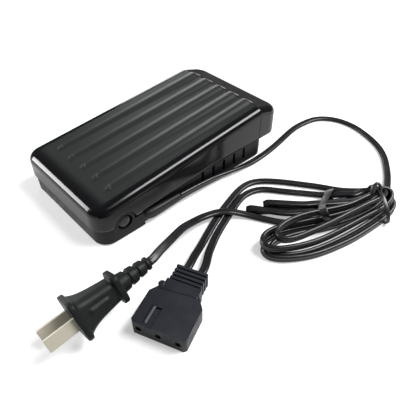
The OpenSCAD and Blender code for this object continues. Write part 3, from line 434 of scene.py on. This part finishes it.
bundle_runs = np.concatenate([
    lane(0.93, 0.99, -LANE, -LANE, HIGH, HIGH), fold(1.0, -LANE, HIGH, LOW, 1),
    lane(0.99, 0.48, -LANE, -LANE, LOW, LOW), lane(0.42, 0.04, -LANE, 0.0, LOW, LOW),
    fold(0.02, 0.0, LOW, MID, -1), lane(0.04, 0.30, 0.0, WIDE, MID, MID),
    lane(0.36, 0.60, WIDE, LANE, MID, MID),
    lane(0.66, 0.97, LANE, LANE, MID, MID), level_turn(0.99, LANE, -LANE, MID),
    lane(0.97, 0.19, -LANE, -LANE, MID, MID), fold(0.16, -LANE, MID, HIGH, -1),
    lane(0.19, 0.48, -LANE, -NARROW, HIGH, HIGH), lane(0.54, 0.90, -NARROW, LANE, HIGH, HIGH),
    lane(0.94, 0.99, LANE, LANE, HIGH, HIGH), fold(1.0, LANE, HIGH, LOW, 1),
    lane(0.99, 0.52, LANE, LANE, LOW, LOW)])


def lead(name, points, stands_for):
    """A flat twin lead swept along its route, in place of the CAD parts that it stands for, which are hidden.
    """
    route = smooth_line(points, LEAD_STEP)
    line = route[:, :3]
    side, upper = axes_along(line, route[:, 3])
    piece = swept(name, twin_section(), line, side, upper, "lead_plastic", "base")
    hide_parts(*stands_for)


# Ties round the hank

# the crown of a strip as a share of its thickness, its lowest point, and the radius of the twisted knot
CROWN, CLEAR, KNOT_R = 0.62, 0.05, 0.95


def round_section(radius, step):
    """Points of a circle, a step of degrees apart."""
    a = np.radians(np.arange(0, 360, step))
    return radius * np.stack([np.cos(a), np.sin(a)], axis=1)


def ribbon(name, points, wide, thick, node):
    """A closed strip along a loop of points: a rounded flat section, its width across the loop's plane. The
    line is kept most of a strip's thickness off the floor, and no point goes under it."""
    step, lift = 0.8, 0.9
    line = smooth_line(points + points[:1], step)[:-1]
    line[:, 2] = np.maximum(line[:, 2], thick * lift)
    ahead = unit(np.roll(line, -1, axis=0) - np.roll(line, 1, axis=0))
    middle = line.mean(axis=0)
    across = unit(np.sum(np.cross(line - middle, np.roll(line, -1, axis=0) - middle), axis=0))
    side = unit(across - np.sum(across * ahead, axis=1, keepdims=True) * ahead)
    upper = np.cross(side, ahead)
    a = np.radians(np.linspace(-90, 90, 7))
    cap = np.stack([wide / 2 - thick / 2 + thick / 2 * np.cos(a), thick / 2 * np.sin(a)], axis=1)
    section = np.concatenate([cap, [[0.0, thick * CROWN]], -cap, [[0.0, -thick / 2]]])
    strip = carried(section, line, side, upper)
    strip[:, :, 2] = np.maximum(strip[:, :, 2], CLEAR)
    rows, cols = strip.shape[:2]
    faces = [f[::-1] for f in grid_faces(rows, cols, loop=True)]
    j = np.arange(cols)
    k = (j + 1) % cols
    seam = np.stack([j, k, (rows - 1) * cols + k, (rows - 1) * cols + j], axis=-1).tolist()
    piece = make_piece(name, strip.reshape(-1, 3), faces + seam, "tie_plastic", "base")
    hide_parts(node)


ribbon("hank_strap", [
    (94.6, 60.6, 0.7), (95.2, 58.6, 4.2), (97.2, 52.8, 7.6), (99.4, 46.6, 8.7), (101.6, 40.4, 9.2),
    (104.6, 34.4, 11.6), (107.4, 30.4, 14.3), (110.2, 29.4, 12.6), (111.4, 31.2, 8.4), (111.4, 33.6, 3.6),
    (109.6, 37, 0.7), (102, 49, 0.5)], 4.4, 0.9, "hank_band")
ribbon("twist_strip", [
    (110.6, 76.6, 0.7), (111.4, 75.4, 6), (114.2, 72.6, 12.2), (119.6, 68.8, 14.5), (127, 63.6, 13.4),
    (132.4, 60.6, 9), (134.2, 60.2, 4), (132.4, 61.8, 0.7), (122, 68.8, 0.5)], 2.2, 0.9, "twist_tie")


def twist_knot():
    """The tie's two ends twisted into a small standing arch: a round section along an arched line."""
    arch = smooth_line([(118.8, 63.4, 13.6), (117.6, 65.0, 16.4), (118.0, 67.6, 18.6), (119.8, 68.8, 17.2),
                        (121.4, 68.2, 13.8)], 0.5)
    side, upper = axes_along(arch, np.zeros(len(arch)))
    swept("twist_knot", round_section(KNOT_R, 30), arch, side, upper, "tie_plastic", "base")


twist_knot()


# Plug

PLUG_AT = np.array([73.4, -107.7, 12.49])
PLUG_TILT, PLUG_ROLL = np.radians(6), np.radians(58)
# width, height and corner radius of the flange and of the collar
FLANGE_W, FLANGE_H, FLANGE_R = 21.0, 19.7, 4.0
COLLAR_W, COLLAR_H, COLLAR_R = 16.0, 14.0, 3.6
# the waist's start, end and corner radius; its width and height with the taper and flare of each; and how
# far the flare reaches
WAIST_FROM, WAIST_TO, WAIST_R = 3.2, 21.4, 3.8
WAIST_W, TAPER_W, FLARE_W = 15.0, 0.165, 3.2
WAIST_H, TAPER_H, FLARE_H = 14.2, 0.175, 3.0
FLARE_REACH = 3.4
# the tail's start, length, radius and taper, and its grooves
TAIL_FROM, TAIL_LONG, TAIL_R, TAIL_TAPER = 25.0, 17.25, 5.2, 0.1
GROOVES, GROOVE_DEEP, GROOVE_HALF = (5.0, 10.0, 15.0), 0.8, 0.62
# the ridge's start, end, half width and height, and the length of its ramps
RIDGE_FROM, RIDGE_TO, RIDGE_HALF, RIDGE_RISE, RIDGE_RAMP = 6.5, 17.5, 1.3, 0.9, 1.2


def plug_axes():
    """The plug's own axes: across its flange, along it toward the lead, and over it."""
    c, s = np.cos(PLUG_TILT), np.sin(PLUG_TILT)
    tilt = np.array([[1, 0, 0], [0, c, -s], [0, s, c]])
    c, s = np.cos(PLUG_ROLL), np.sin(PLUG_ROLL)
    roll = np.array([[c, 0, s], [0, 1, 0], [-s, 0, c]])
    return tilt @ roll


def rounded_rows(y, wide, high, radius):
    """Rows of a rounded rectangle, one for each y: twelve points round each corner, eight along each side."""
    corner = np.radians(np.linspace(0, 90, 12))
    share = np.linspace(0, 1, 10)[1:-1][None, :, None]
    rows = []
    for quarter, (sx, sz) in enumerate(((1, 1), (-1, 1), (-1, -1), (1, -1))):
        a = corner + quarter * np.pi / 2
        x = sx * (wide / 2 - radius)[:, None] + radius[:, None] * np.cos(a)[None]
        z = sz * (high / 2 - radius)[:, None] + radius[:, None] * np.sin(a)[None]
        rows.append(np.stack([x, np.repeat(y[:, None], len(a), axis=1), z], axis=-1))
    sides = []
    for here, after in zip(rows, rows[1:] + rows[:1]):
        sides += [here, here[:, -1:] + (after[:, :1] - here[:, -1:]) * share]
    return np.concatenate(sides, axis=1)


def rounded_plate(front, rear, front_deep, rear_deep, wide, high, radius):
    """Sections of a plate from front to rear, each its y, width, height and corner radius. Both edges are
    rounded over a depth of their own, the rear one a little more."""
    front_in, rear_in = 1.4, 1.8
    a = np.radians(np.linspace(0, 90, 6))
    y = np.concatenate([front + front_deep * (1 - np.cos(a)), rear - rear_deep * (1 - np.sin(a))])
    grow = np.concatenate([front_in * (np.sin(a) - 1), rear_in * (np.cos(a) - 1)])
    return np.column_stack([y, wide + grow, high + grow, np.full(len(y), radius)])


def plug_moulding():
    """The plug's body as one lofted skin: rounded flange, a waist that flares into it, collar, and a round
    tail with three grooves, with a low ridge along the upper side of the waist."""
    flange = rounded_plate(0.0, 3.0, 0.7, 0.9, FLANGE_W, FLANGE_H, FLANGE_R)
    y = np.linspace(WAIST_FROM, WAIST_TO, 22)
    past = y - WAIST_FROM
    flare = np.exp(-past / FLARE_REACH)
    waist = np.column_stack([y, WAIST_W - TAPER_W * past + FLARE_W * flare,
                             WAIST_H - TAPER_H * past + FLARE_H * flare, np.full(len(y), WAIST_R)])
    collar = rounded_plate(22.0, TAIL_FROM, 0.5, 0.7, COLLAR_W, COLLAR_H, COLLAR_R)
    past = np.linspace(0.05, TAIL_LONG, 120)
    near = np.min([np.abs(past - g) for g in GROOVES], axis=0)
    r = TAIL_R - TAIL_TAPER * past - GROOVE_DEEP / (1 + (near / GROOVE_HALF) ** 6)
    tail = np.column_stack([TAIL_FROM + past, 2 * r, 2 * r, r - 0.001])
    y, wide, high, radius = np.concatenate([flange, waist, collar, tail]).T
    rows = rounded_rows(y, wide, high, radius)
    ramp_up = np.clip((y - RIDGE_FROM) / RIDGE_RAMP, 0, 1)
    ramp_down = np.clip((RIDGE_TO - y) / RIDGE_RAMP, 0, 1)
    ridge = RIDGE_RISE * ramp_up * ramp_down
    on_ridge = (rows[:, :, 2] > 0) & (np.abs(rows[:, :, 0]) < RIDGE_HALF)
    rows[:, :, 2] += np.where(on_ridge, ridge[:, None], 0.0)
    rows = rows @ plug_axes().T + PLUG_AT
    faces = tube_faces(*rows.shape[:2], flip=True)
    piece = make_piece("plug_moulding", rows.reshape(-1, 3), faces, "plug_plastic", "base")
    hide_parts("plug_body")
    return piece


plug_skin = plug_moulding()

lead("pedal_lead_flex", pedal_route + hank_turns + left_route,
     ["pedal_lead", "connector_lead_left", "lead_hank"])
mains_points = np.concatenate([np.array(right_route, float), bundle_runs, np.array(plug_route, float)])
lead("mains_lead_flex", mains_points,
     ["connector_lead_right", "plug_lead"])


# Strain relief

def relief_boot():
    """The rubber boot where the lead leaves the base: rounded sections along the lead that swell from a point
    against the wall and thin out to the lead's own size, and the grip inside the wall."""
    middle_z, squareness = 6.4, 0.8
    stops = np.array([-43.0, -42.6, -41.8, -40.4, -38.2, -35.4, -32, -28, -24, -20, -17, -16.2, -16.0])
    wide = np.array([0.20, 0.62, 1.12, 1.62, 1.95, 2.06, 2.02, 1.90, 1.76, 1.64, 1.56, 1.50, 1.36])
    high = np.array([0.30, 1.00, 1.80, 2.60, 3.10, 3.28, 3.20, 3.04, 2.88, 2.74, 2.64, 2.58, 2.42])
    out = np.array([37.3, 37.4, 37.6, 37.9, 38.2, 38.4, 38.4, 38.4, 38.4, 38.4, 38.4, 38.4, 38.4])
    y = np.linspace(stops[0], stops[-1], 80)
    a = np.radians(np.arange(0, 360, 10))
    cx, cz = (np.sign(v) * np.abs(v) ** squareness for v in (np.cos(a), np.sin(a)))
    x = np.interp(y, stops, out)[:, None] + np.interp(y, stops, wide)[:, None] * cx[None]
    z = middle_z + np.interp(y, stops, high)[:, None] * cz[None]
    rows = np.stack([x, np.repeat(y[:, None], len(a), axis=1), z], axis=-1)
    faces = tube_faces(*rows.shape[:2], flip=True)
    points = rows.reshape(-1, 3)
    grip = np.array([(x, y, z) for x in (33.0, 36.8) for y in (-41.0, -36.0) for z in (4.0, 8.8)])
    start = len(points)
    box = [(0, 1, 3, 2), (4, 6, 7, 5), (0, 4, 5, 1), (2, 3, 7, 6), (0, 2, 6, 4), (1, 5, 7, 3)]
    faces += [[start + k for k in side] for side in box]
    piece = make_piece("relief_boot", np.concatenate([points, grip]), faces, "rubber", "base")
    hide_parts("strain_relief")


relief_boot()


# Return spring

# turns, radius and wire radius of the coil, its place along the pedal, and where its wire starts and how
# far it rises
TURNS, COIL_R, WIRE_R = 7, 4.9, 0.6
COIL_Y, COIL_FOOT, COIL_RISE = 36.0, 4.15, 28.87


def return_coil():
    """The return spring as a round wire along a helix, closer at both ends."""
    per_turn, closer = 28, 0.065
    share = np.linspace(0, 1, TURNS * per_turn + 1)
    a = 2 * np.pi * TURNS * share
    side = np.stack([np.cos(a), np.sin(a), np.zeros(len(a))], axis=1)
    rise = COIL_FOOT + COIL_RISE * (share - closer * np.sin(2 * np.pi * share))
    line = COIL_R * side + np.stack([np.zeros(len(a)), np.full(len(a), COIL_Y), rise], axis=1)
    upper = np.cross(side, unit(np.gradient(line, axis=0)))
    piece = swept("return_coil", round_section(WIRE_R, 30), line, side, upper, "steel", "base")
    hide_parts("return_spring")
    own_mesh(piece)


return_coil()


# Softened edges

def soften(node, width, segments=3):
    """Round the sharp edges of a solid by a bevel of the given width in millimetres."""
    bevel = node.modifiers.new("soft edges", "BEVEL")
    bevel.width = width * MM
    bevel.segments = segments
    bevel.limit_method = "ANGLE"
    bevel.angle_limit = np.radians(40)


soften(nodes["connector_body"], 0.5)
soften(nodes["plug_blades"], 0.15, 2)


# Connector

# the connector's rear middle, its turn and its height, the lug's place along and across it, and the lug's
# radius, rounding, foot and top
CONNECTOR_AT, CONNECTOR_TURN, CONNECTOR_TOP = (86.4, -48.2), np.radians(-66.4), 9.5
LUG_ALONG, LUG_ACROSS = 14.0, -10.2
LUG_R, LUG_ROUND, LUG_FOOT, LUG_TOP = 1.9, 0.8, 2.5, 9.7


def on_connector(name, along, across, z):
    """A closed piece of the connector from rows of section points given along, across and above it, both ends
    capped, turned to the connector's place."""
    c, s = np.cos(CONNECTOR_TURN), np.sin(CONNECTOR_TURN)
    x = CONNECTOR_AT[0] + along * c - across * s
    y = CONNECTOR_AT[1] + along * s + across * c
    points = np.stack([x, y, z], axis=-1).reshape(-1, 3)
    make_piece(name, points, tube_faces(*z.shape), "connector_plastic", "base")


def connector_ridge(name, start, end, half, rise):
    """A low ridge on the connector's top from one place to another: a hump across it, (1 - s^2)^2 for s from
    -1 to 1, that eases in at both ends, closed below by a flat base inside the connector."""
    ease, sunk, base = 1.5, 0.05, 0.4
    run = np.subtract(end, start)
    far = np.linalg.norm(run)
    ahead = run / far
    t = np.linspace(0, far, 48)[:, None]
    s = np.linspace(1, -1, 15)
    ends = np.clip(np.minimum(t, far - t) / ease, 0, 1)
    over = CONNECTOR_TOP - sunk + rise * ends * (2 - ends) * (1 - s ** 2)[None] ** 2
    side = np.append(half * s, [-half, half])[None]
    z = np.concatenate([over, np.full((len(t), 2), CONNECTOR_TOP - base)], axis=1)
    on_connector(name, start[0] + t * ahead[0] - side * ahead[1],
                 start[1] + t * ahead[1] + side * ahead[0], z)


def connector_lug():
    """A small upright lug at the connector's shoulder: a round post with a rounded top."""
    a = np.radians(np.linspace(0, 90, 7))
    cut = 0.5
    r = np.concatenate([[LUG_R - cut, LUG_R], LUG_R - LUG_ROUND + LUG_ROUND * np.cos(a)])[:, None]
    z = np.concatenate([[LUG_FOOT, LUG_FOOT + cut], LUG_TOP - LUG_ROUND + LUG_ROUND * np.sin(a)])[:, None]
    turn = np.radians(np.arange(0, 360, 15))[None]
    on_connector("connector_lug", LUG_ALONG + r * np.cos(turn), LUG_ACROSS + r * np.sin(turn),
                 np.repeat(z, turn.size, axis=1))


connector_ridge("connector_key_lip", (26.4, -7.4), (37.2, -7.4), 1.3, 0.55)
connector_ridge("connector_step", (16.8, -10.4), (15.0, 9.6), 0.8, 0.4)
connector_lug()


# Treadle

HALF_W, HALF_L, PLAN_R, EDGE_R = 39.0, 72.0, 9.0, 4.5
FRONT_H, CREST_Y = 25.2, 53.5
SLOPE, FALL = np.radians(5.9), np.radians(15.5)
CREST_Z = FRONT_H + (CREST_Y + HALF_L) * np.tan(SLOPE)
RIB_R, RIB_PITCH = 3.2, 12.5
RIB_START, RIB_END = 17.5 - HALF_L, CREST_Y - 1
# rise of a rib at its two ends, and half the width of its shoulders at the front and how much it gains
RIB_LOW, RIB_HIGH = 0.5, 1.5
SHOULDER, SHOULDER_GAIN = 3.2, 1.7
# how far a rib's swell fades out past its front and rear ends, and the height, place and spread of its nose
FADE_FRONT, FADE_REAR = 3.2, 4.5
NOSE, NOSE_BACK, NOSE_SPREAD = 0.55, 0.4, 1.1
PIVOT_Y, PIVOT_Z, PIVOT_GAP = -55.0, 11.5, 7.2
# lower edge of the skirt at the front and the rear, and how far the skin stands off the solid
SKIRT_FRONT, SKIRT_REAR, SKIN = 12.0, 16.2, 0.04
# a height below every rib
BELOW = -99.0


def top_height(y):
    """Height of the sloping top face at y."""
    return FRONT_H + (y + HALF_L) * np.tan(SLOPE)


def skirt_edge(y):
    """Lower edge of the skirt along a side: straight runs between corners, lifted over the pivot by a
    circle."""
    corners_y = [-HALF_L, -48, -43, 10, HALF_L]
    corners_z = [SKIRT_FRONT, SKIRT_FRONT, 12.4, 17.0, SKIRT_REAR]
    edge = np.interp(y, corners_y, corners_z)
    arch = PIVOT_Z + np.sqrt(np.maximum(PIVOT_GAP ** 2 - (y - PIVOT_Y) ** 2, 0.0))
    return np.where(np.abs(y - PIVOT_Y) < PIVOT_GAP, np.maximum(edge, arch), edge)


def rim_rows():
    """Rows of the rim line that lies one edge radius inside the treadle: the place and half-width of each row
    and the lean of the face there. The front corner is a leaning quarter circle, then comes the long slope,
    then the crest, where the place stands still and the lean turns over, the rear slope and rear corner."""
    ring = PLAN_R - EDGE_R
    quarter = np.radians(np.linspace(90, 0, 9))
    front_y, rear_y = PLAN_R - HALF_L, HALF_L - PLAN_R
    inset = HALF_W - EDGE_R
    front_z = top_height(front_y) - EDGE_R / np.cos(SLOPE)
    rear_z = CREST_Z - (rear_y - CREST_Y) * np.tan(FALL) - EDGE_R / np.cos(FALL)
    turn = SLOPE + FALL
    crest_y = CREST_Y - EDGE_R * (np.sin(FALL) - np.sin(SLOPE)) / (1 + np.cos(turn))
    crest_z = CREST_Z - EDGE_R * (np.cos(FALL) + np.cos(SLOPE)) / (1 + np.cos(turn))
    wide = HALF_W - PLAN_R + ring * np.cos(quarter)
    front = np.column_stack([wide, front_y - ring * np.sin(quarter) * np.cos(SLOPE),
                             front_z - ring * np.sin(quarter) * np.sin(SLOPE), np.full(9, SLOPE)])
    # rows lie close together where the ribs start and at the crest
    stops = np.concatenate([np.linspace(front_y, -57.5, 6)[1:], np.arange(-57.2, -50.0, 0.25),
                            np.arange(-49.4, 48.0, 1.3), np.arange(48.6, crest_y - 0.1, 0.3)])
    share = (stops - front_y) / (crest_y - front_y)
    slope = np.column_stack([np.full(len(stops), inset), stops, front_z + (crest_z - front_z) * share,
                             np.full(len(stops), SLOPE)])
    lean = np.linspace(SLOPE, -FALL, 11)
    crest = np.column_stack([np.full(11, inset), np.full(11, crest_y), np.full(11, crest_z), lean])
    back = np.concatenate([np.arange(crest_y + 0.3, crest_y + 3, 0.3),
                           np.linspace(crest_y + 3.4, rear_y, 6)[:-1]])
    share = (back - crest_y) / (rear_y - crest_y)
    fall = np.column_stack([np.full(len(back), inset), back, crest_z + (rear_z - crest_z) * share,
                            np.full(len(back), -FALL)])
    end = np.column_stack([wide[::-1], rear_y + ring * np.sin(quarter[::-1]) * np.cos(FALL),
                           rear_z - ring * np.sin(quarter[::-1]) * np.sin(FALL), np.full(9, -FALL)])
    return np.concatenate([front, slope, crest, fall, end])


def from_rib(x):
    """How far x lies from the middle of the nearest of the five ribs."""
    return x - RIB_PITCH * np.clip(np.round(x / RIB_PITCH), -2, 2)


def rib_height(x, y):
    """Top of the nearest rib: a round bar on a rising axis with a ball at each end, or far below."""
    z0 = top_height(RIB_START) + RIB_LOW - RIB_R
    z1 = top_height(RIB_END) + RIB_HIGH - RIB_R
    dx = from_rib(x)
    rise = np.arctan2(z1 - z0, RIB_END - RIB_START)
    left = RIB_R ** 2 - dx ** 2
    axis = z0 + (z1 - z0) * (y - RIB_START) / (RIB_END - RIB_START)
    bar = np.where((left > 0) & (y >= RIB_START) & (y <= RIB_END),
                   axis + np.sqrt(np.maximum(left, 0)) / np.cos(rise), BELOW)
    for end_y, end_z in ((RIB_START, z0), (RIB_END, z1)):
        ball = left - (y - end_y) ** 2
        bar = np.maximum(bar, np.where(ball > 0, end_z + np.sqrt(np.maximum(ball, 0)), BELOW))
    return bar


def rib_half_width(y):
    """Half the width of a rib's soft shoulders, wider toward the crest."""
    return SHOULDER + SHOULDER_GAIN * np.clip((y - RIB_START) / (RIB_END - RIB_START), 0, 1)


def rib_swell(x, y):
    """Height of a rib over the top face: a soft hump across, (1 - (dx / half)^2)^2, that rises toward the
    crest, fades out past each end by the same curve, and has a small round nose at its front end."""
    dx = from_rib(x)
    inside = np.clip(y, RIB_START, RIB_END)
    rise = RIB_LOW + (RIB_HIGH - RIB_LOW) * (inside - RIB_START) / (RIB_END - RIB_START)
    hump = np.clip(1 - (dx / rib_half_width(y)) ** 2, 0, 1) ** 2
    past = np.where(y < RIB_START, (RIB_START - y) / FADE_FRONT, (y - inside) / FADE_REAR)
    nose = NOSE * np.exp(-(dx ** 2 + (y - RIB_START - NOSE_BACK) ** 2) / NOSE_SPREAD)
    return rise * hump * np.clip(1 - past ** 2, 0, 1) ** 2 + nose


def treadle_skin():
    """The treadle's gloss outside as one sheet. Top grid: each row runs across at one edge radius above its
    rim line, with columns gathered at the rib edges, is lifted by the ribs' soft swell, and takes the round
    rib's height where that is more. Round the grid, the edge is a quarter turn from the face's own upward
    direction to the outward one, and the wall drops from there to the skirt's lower edge and turns in."""
    rib_lift, overlap, turn_in = 0.02, 0.1, 0.3
    rows = rim_rows()
    wide, ry, rz, lean = rows.T
    normal = np.column_stack([np.zeros(len(rows)), -np.sin(lean), np.cos(lean)])
    face_y = ry + EDGE_R * normal[:, 1]
    face_z = rz + EDGE_R * normal[:, 2]
    marks = np.array([-1.2, -1.08, -1, -0.9, -0.78, -0.64, -0.48, -0.32, -0.16])
    marks = np.concatenate([marks, [0.0], -marks[::-1]])
    half = rib_half_width(face_y)
    ribs = [RIB_PITCH * k + half[:, None] * marks[None, :] for k in range(-2, 3)]
    gaps = []
    share = np.linspace(0, 1, 6)[1:-1]
    for left, right in zip(ribs[:-1], ribs[1:]):
        gaps.append(left[:, -1:] + (right[:, :1] - left[:, -1:]) * share[None, :])
    edge_left = -wide[:, None] + (ribs[0][:, :1] + wide[:, None]) * np.linspace(0, 1, 8)[None, :-1]
    edge_right = ribs[-1][:, -1:] + (wide[:, None] - ribs[-1][:, -1:]) * np.linspace(0, 1, 8)[None, 1:]
    columns = [edge_left, ribs[0]]
    for gap, rib in zip(gaps, ribs[1:]):
        columns += [gap, rib]
    x = np.concatenate(columns + [edge_right], axis=1)
    n_rows, n_cols = x.shape
    y = np.repeat(face_y[:, None], n_cols, axis=1)
    z = np.repeat(face_z[:, None], n_cols, axis=1)
    z = np.maximum(z + rib_swell(x, y), rib_height(x, y) + rib_lift)
    top = np.stack([x, y, z], axis=-1) + SKIN * normal[:, None, :]
    i = np.arange(n_rows)
    j = np.arange(n_cols)
    ring = np.concatenate([j[:-1], i[:-1] * n_cols + n_cols - 1,
                           (n_rows - 1) * n_cols + j[:0:-1], i[:0:-1] * n_cols])
    row_of, col_of = ring // n_cols, ring % n_cols
    centre = np.stack([x[row_of, col_of], ry[row_of], rz[row_of]], axis=1)
    up = normal[row_of]
    across = np.column_stack([np.zeros(len(ring)), np.cos(lean[row_of]), np.sin(lean[row_of])])
    corner_x = HALF_W - PLAN_R
    front, rear = PLAN_R - HALF_L, HALF_L - PLAN_R
    ox = np.sign(centre[:, 0]) * np.maximum(np.abs(centre[:, 0]) - corner_x, 0.0)
    oy = np.minimum(centre[:, 1] - front, 0.0) + np.maximum(centre[:, 1] - rear, 0.0)
    flat_end = (row_of == 0) | (row_of == n_rows - 1)
    ox = np.where(flat_end, 0.0, ox)
    oy = np.where(flat_end, np.where(row_of == 0, -1.0, 1.0), oy / np.cos(lean[row_of]))
    out = unit(np.column_stack([ox, oy]))
    outward = out[:, :1] * np.array([1.0, 0.0, 0.0]) + out[:, 1:] * across
    turn = np.radians(np.linspace(0, 90, 11))[1:]
    r = EDGE_R + SKIN
    edge = centre[None] + r * (np.cos(turn)[:, None, None] * up[None]
                               + np.sin(turn)[:, None, None] * outward[None])
    lip = edge[-1]
    ends = np.where(lip[:, 1] < 0, SKIRT_FRONT, SKIRT_REAR)
    low = np.where(np.abs(lip[:, 1]) > HALF_L - 2, ends, skirt_edge(lip[:, 1])) - overlap
    fall = np.linspace(0, 1, 13)[1:]
    wall = np.repeat(lip[None], len(fall), axis=0)
    wall[:, :, 2] = lip[None, :, 2] + (low - lip[:, 2])[None] * fall[:, None]
    tuck = wall[-1:] - turn_in * np.column_stack([out, np.zeros(len(out))])[None]
    skirt = np.concatenate([edge, wall, tuck])
    points = np.concatenate([top.reshape(-1, 3), skirt.reshape(-1, 3)])
    faces = grid_faces(n_rows, n_cols)
    first = n_rows * n_cols
    count = len(ring)
    nxt = (np.arange(count) + 1) % count
    here = np.arange(count)
    join = np.stack([ring[here], first + here, first + nxt, ring[nxt]], axis=-1).tolist()
    band = [f[::-1] for f in grid_faces(len(skirt), count, loop=True, start=first)]
    make_piece("treadle_gloss_skin", points, faces + join + band, "gloss_black", "treadle")


treadle_skin()


# Stage and light

# the point that the lamps face and their distance from it, in metres
LAMP_AIM, LAMP_AWAY = np.array([0.04, 0.02, 0.01]), 0.9
# half the floor's side in metres, its grey, the lift that makes it look white, and the room's brightness
FLOOR_HALF, FLOOR_GREY, FLOOR_LIFT, ROOM = 4, 0.50, 0.42, 0.16


def soft_box(name, direction, along, away, size, power):
    """An oblong area lamp in one direction from the object, turned to face it, its width along a given
    line."""
    lamp = bpy.data.lights.new(name, "AREA")
    lamp.shape = "RECTANGLE"
    lamp.size, lamp.size_y = size
    lamp.energy = power
    holder = bpy.data.objects.new(name, lamp)
    bpy.context.scene.collection.objects.link(holder)
    toward = unit(direction)
    side = unit(along - np.dot(along, toward) * toward)
    place = np.eye(4)
    place[:3, :3] = np.stack([side, np.cross(toward, side), toward], axis=1)
    place[:3, 3] = LAMP_AIM + toward * away
    holder.matrix_world = Matrix(place.tolist())


def set_stage():
    """A pale floor that takes the shadow and looks white, three soft boxes, and a dim even room."""
    floor_mesh = bpy.data.meshes.new("floor")
    h = FLOOR_HALF
    floor_mesh.from_pydata([(-h, -h, 0), (h, -h, 0), (h, h, 0), (-h, h, 0)], [], [(0, 1, 2, 3)])
    floor = bpy.data.objects.new("floor", floor_mesh)
    bpy.context.scene.collection.objects.link(floor)
    paint = bpy.data.materials.new("floor white")
    paint.use_nodes = True
    tree = paint.node_tree
    shader = tree.nodes["Principled BSDF"]
    shader.inputs["Base Color"].default_value = (FLOOR_GREY, FLOOR_GREY, FLOOR_GREY, 1)
    shader.inputs["Roughness"].default_value = 0.9
    shader.inputs["Specular IOR Level"].default_value = 0.1
    shader.inputs["Emission Color"].default_value = (1, 1, 1, 1)
    path = tree.nodes.new("ShaderNodeLightPath")
    seen = tree.nodes.new("ShaderNodeMath")
    seen.operation = "MAXIMUM"
    either = tree.nodes.new("ShaderNodeMath")
    either.operation = "MAXIMUM"
    lift = tree.nodes.new("ShaderNodeMath")
    lift.operation = "MULTIPLY"
    lift.inputs[1].default_value = FLOOR_LIFT
    tree.links.new(path.outputs["Is Camera Ray"], seen.inputs[0])
    tree.links.new(path.outputs["Is Glossy Ray"], seen.inputs[1])
    tree.links.new(seen.outputs[0], either.inputs[0])
    tree.links.new(path.outputs["Is Transmission Ray"], either.inputs[1])
    tree.links.new(either.outputs[0], lift.inputs[0])
    tree.links.new(lift.outputs[0], shader.inputs["Emission Strength"])
    floor_mesh.materials.append(paint)
    world = bpy.data.worlds.new("pale room")
    bpy.context.scene.world = world
    world.use_nodes = True
    sky = world.node_tree.nodes["Background"]
    sky.inputs["Color"].default_value = (1, 1, 1, 1)
    sky.inputs["Strength"].default_value = ROOM
    soft_box("front left soft box", (-0.73, -0.58, 0.36), (1, 0, 0), LAMP_AWAY, (0.26, 0.5), 9.5)
    soft_box("right rear soft box", (0.36, 0.46, 0.81), (0, 1, 0), LAMP_AWAY, (0.62, 0.4), 20.0)
    soft_box("left rear soft box", (-0.80, 0.45, 0.30), (0, 1, 0), LAMP_AWAY, (0.3, 0.2), 1.8)


set_stage()
bpy.context.scene.view_settings.view_transform = "Standard"
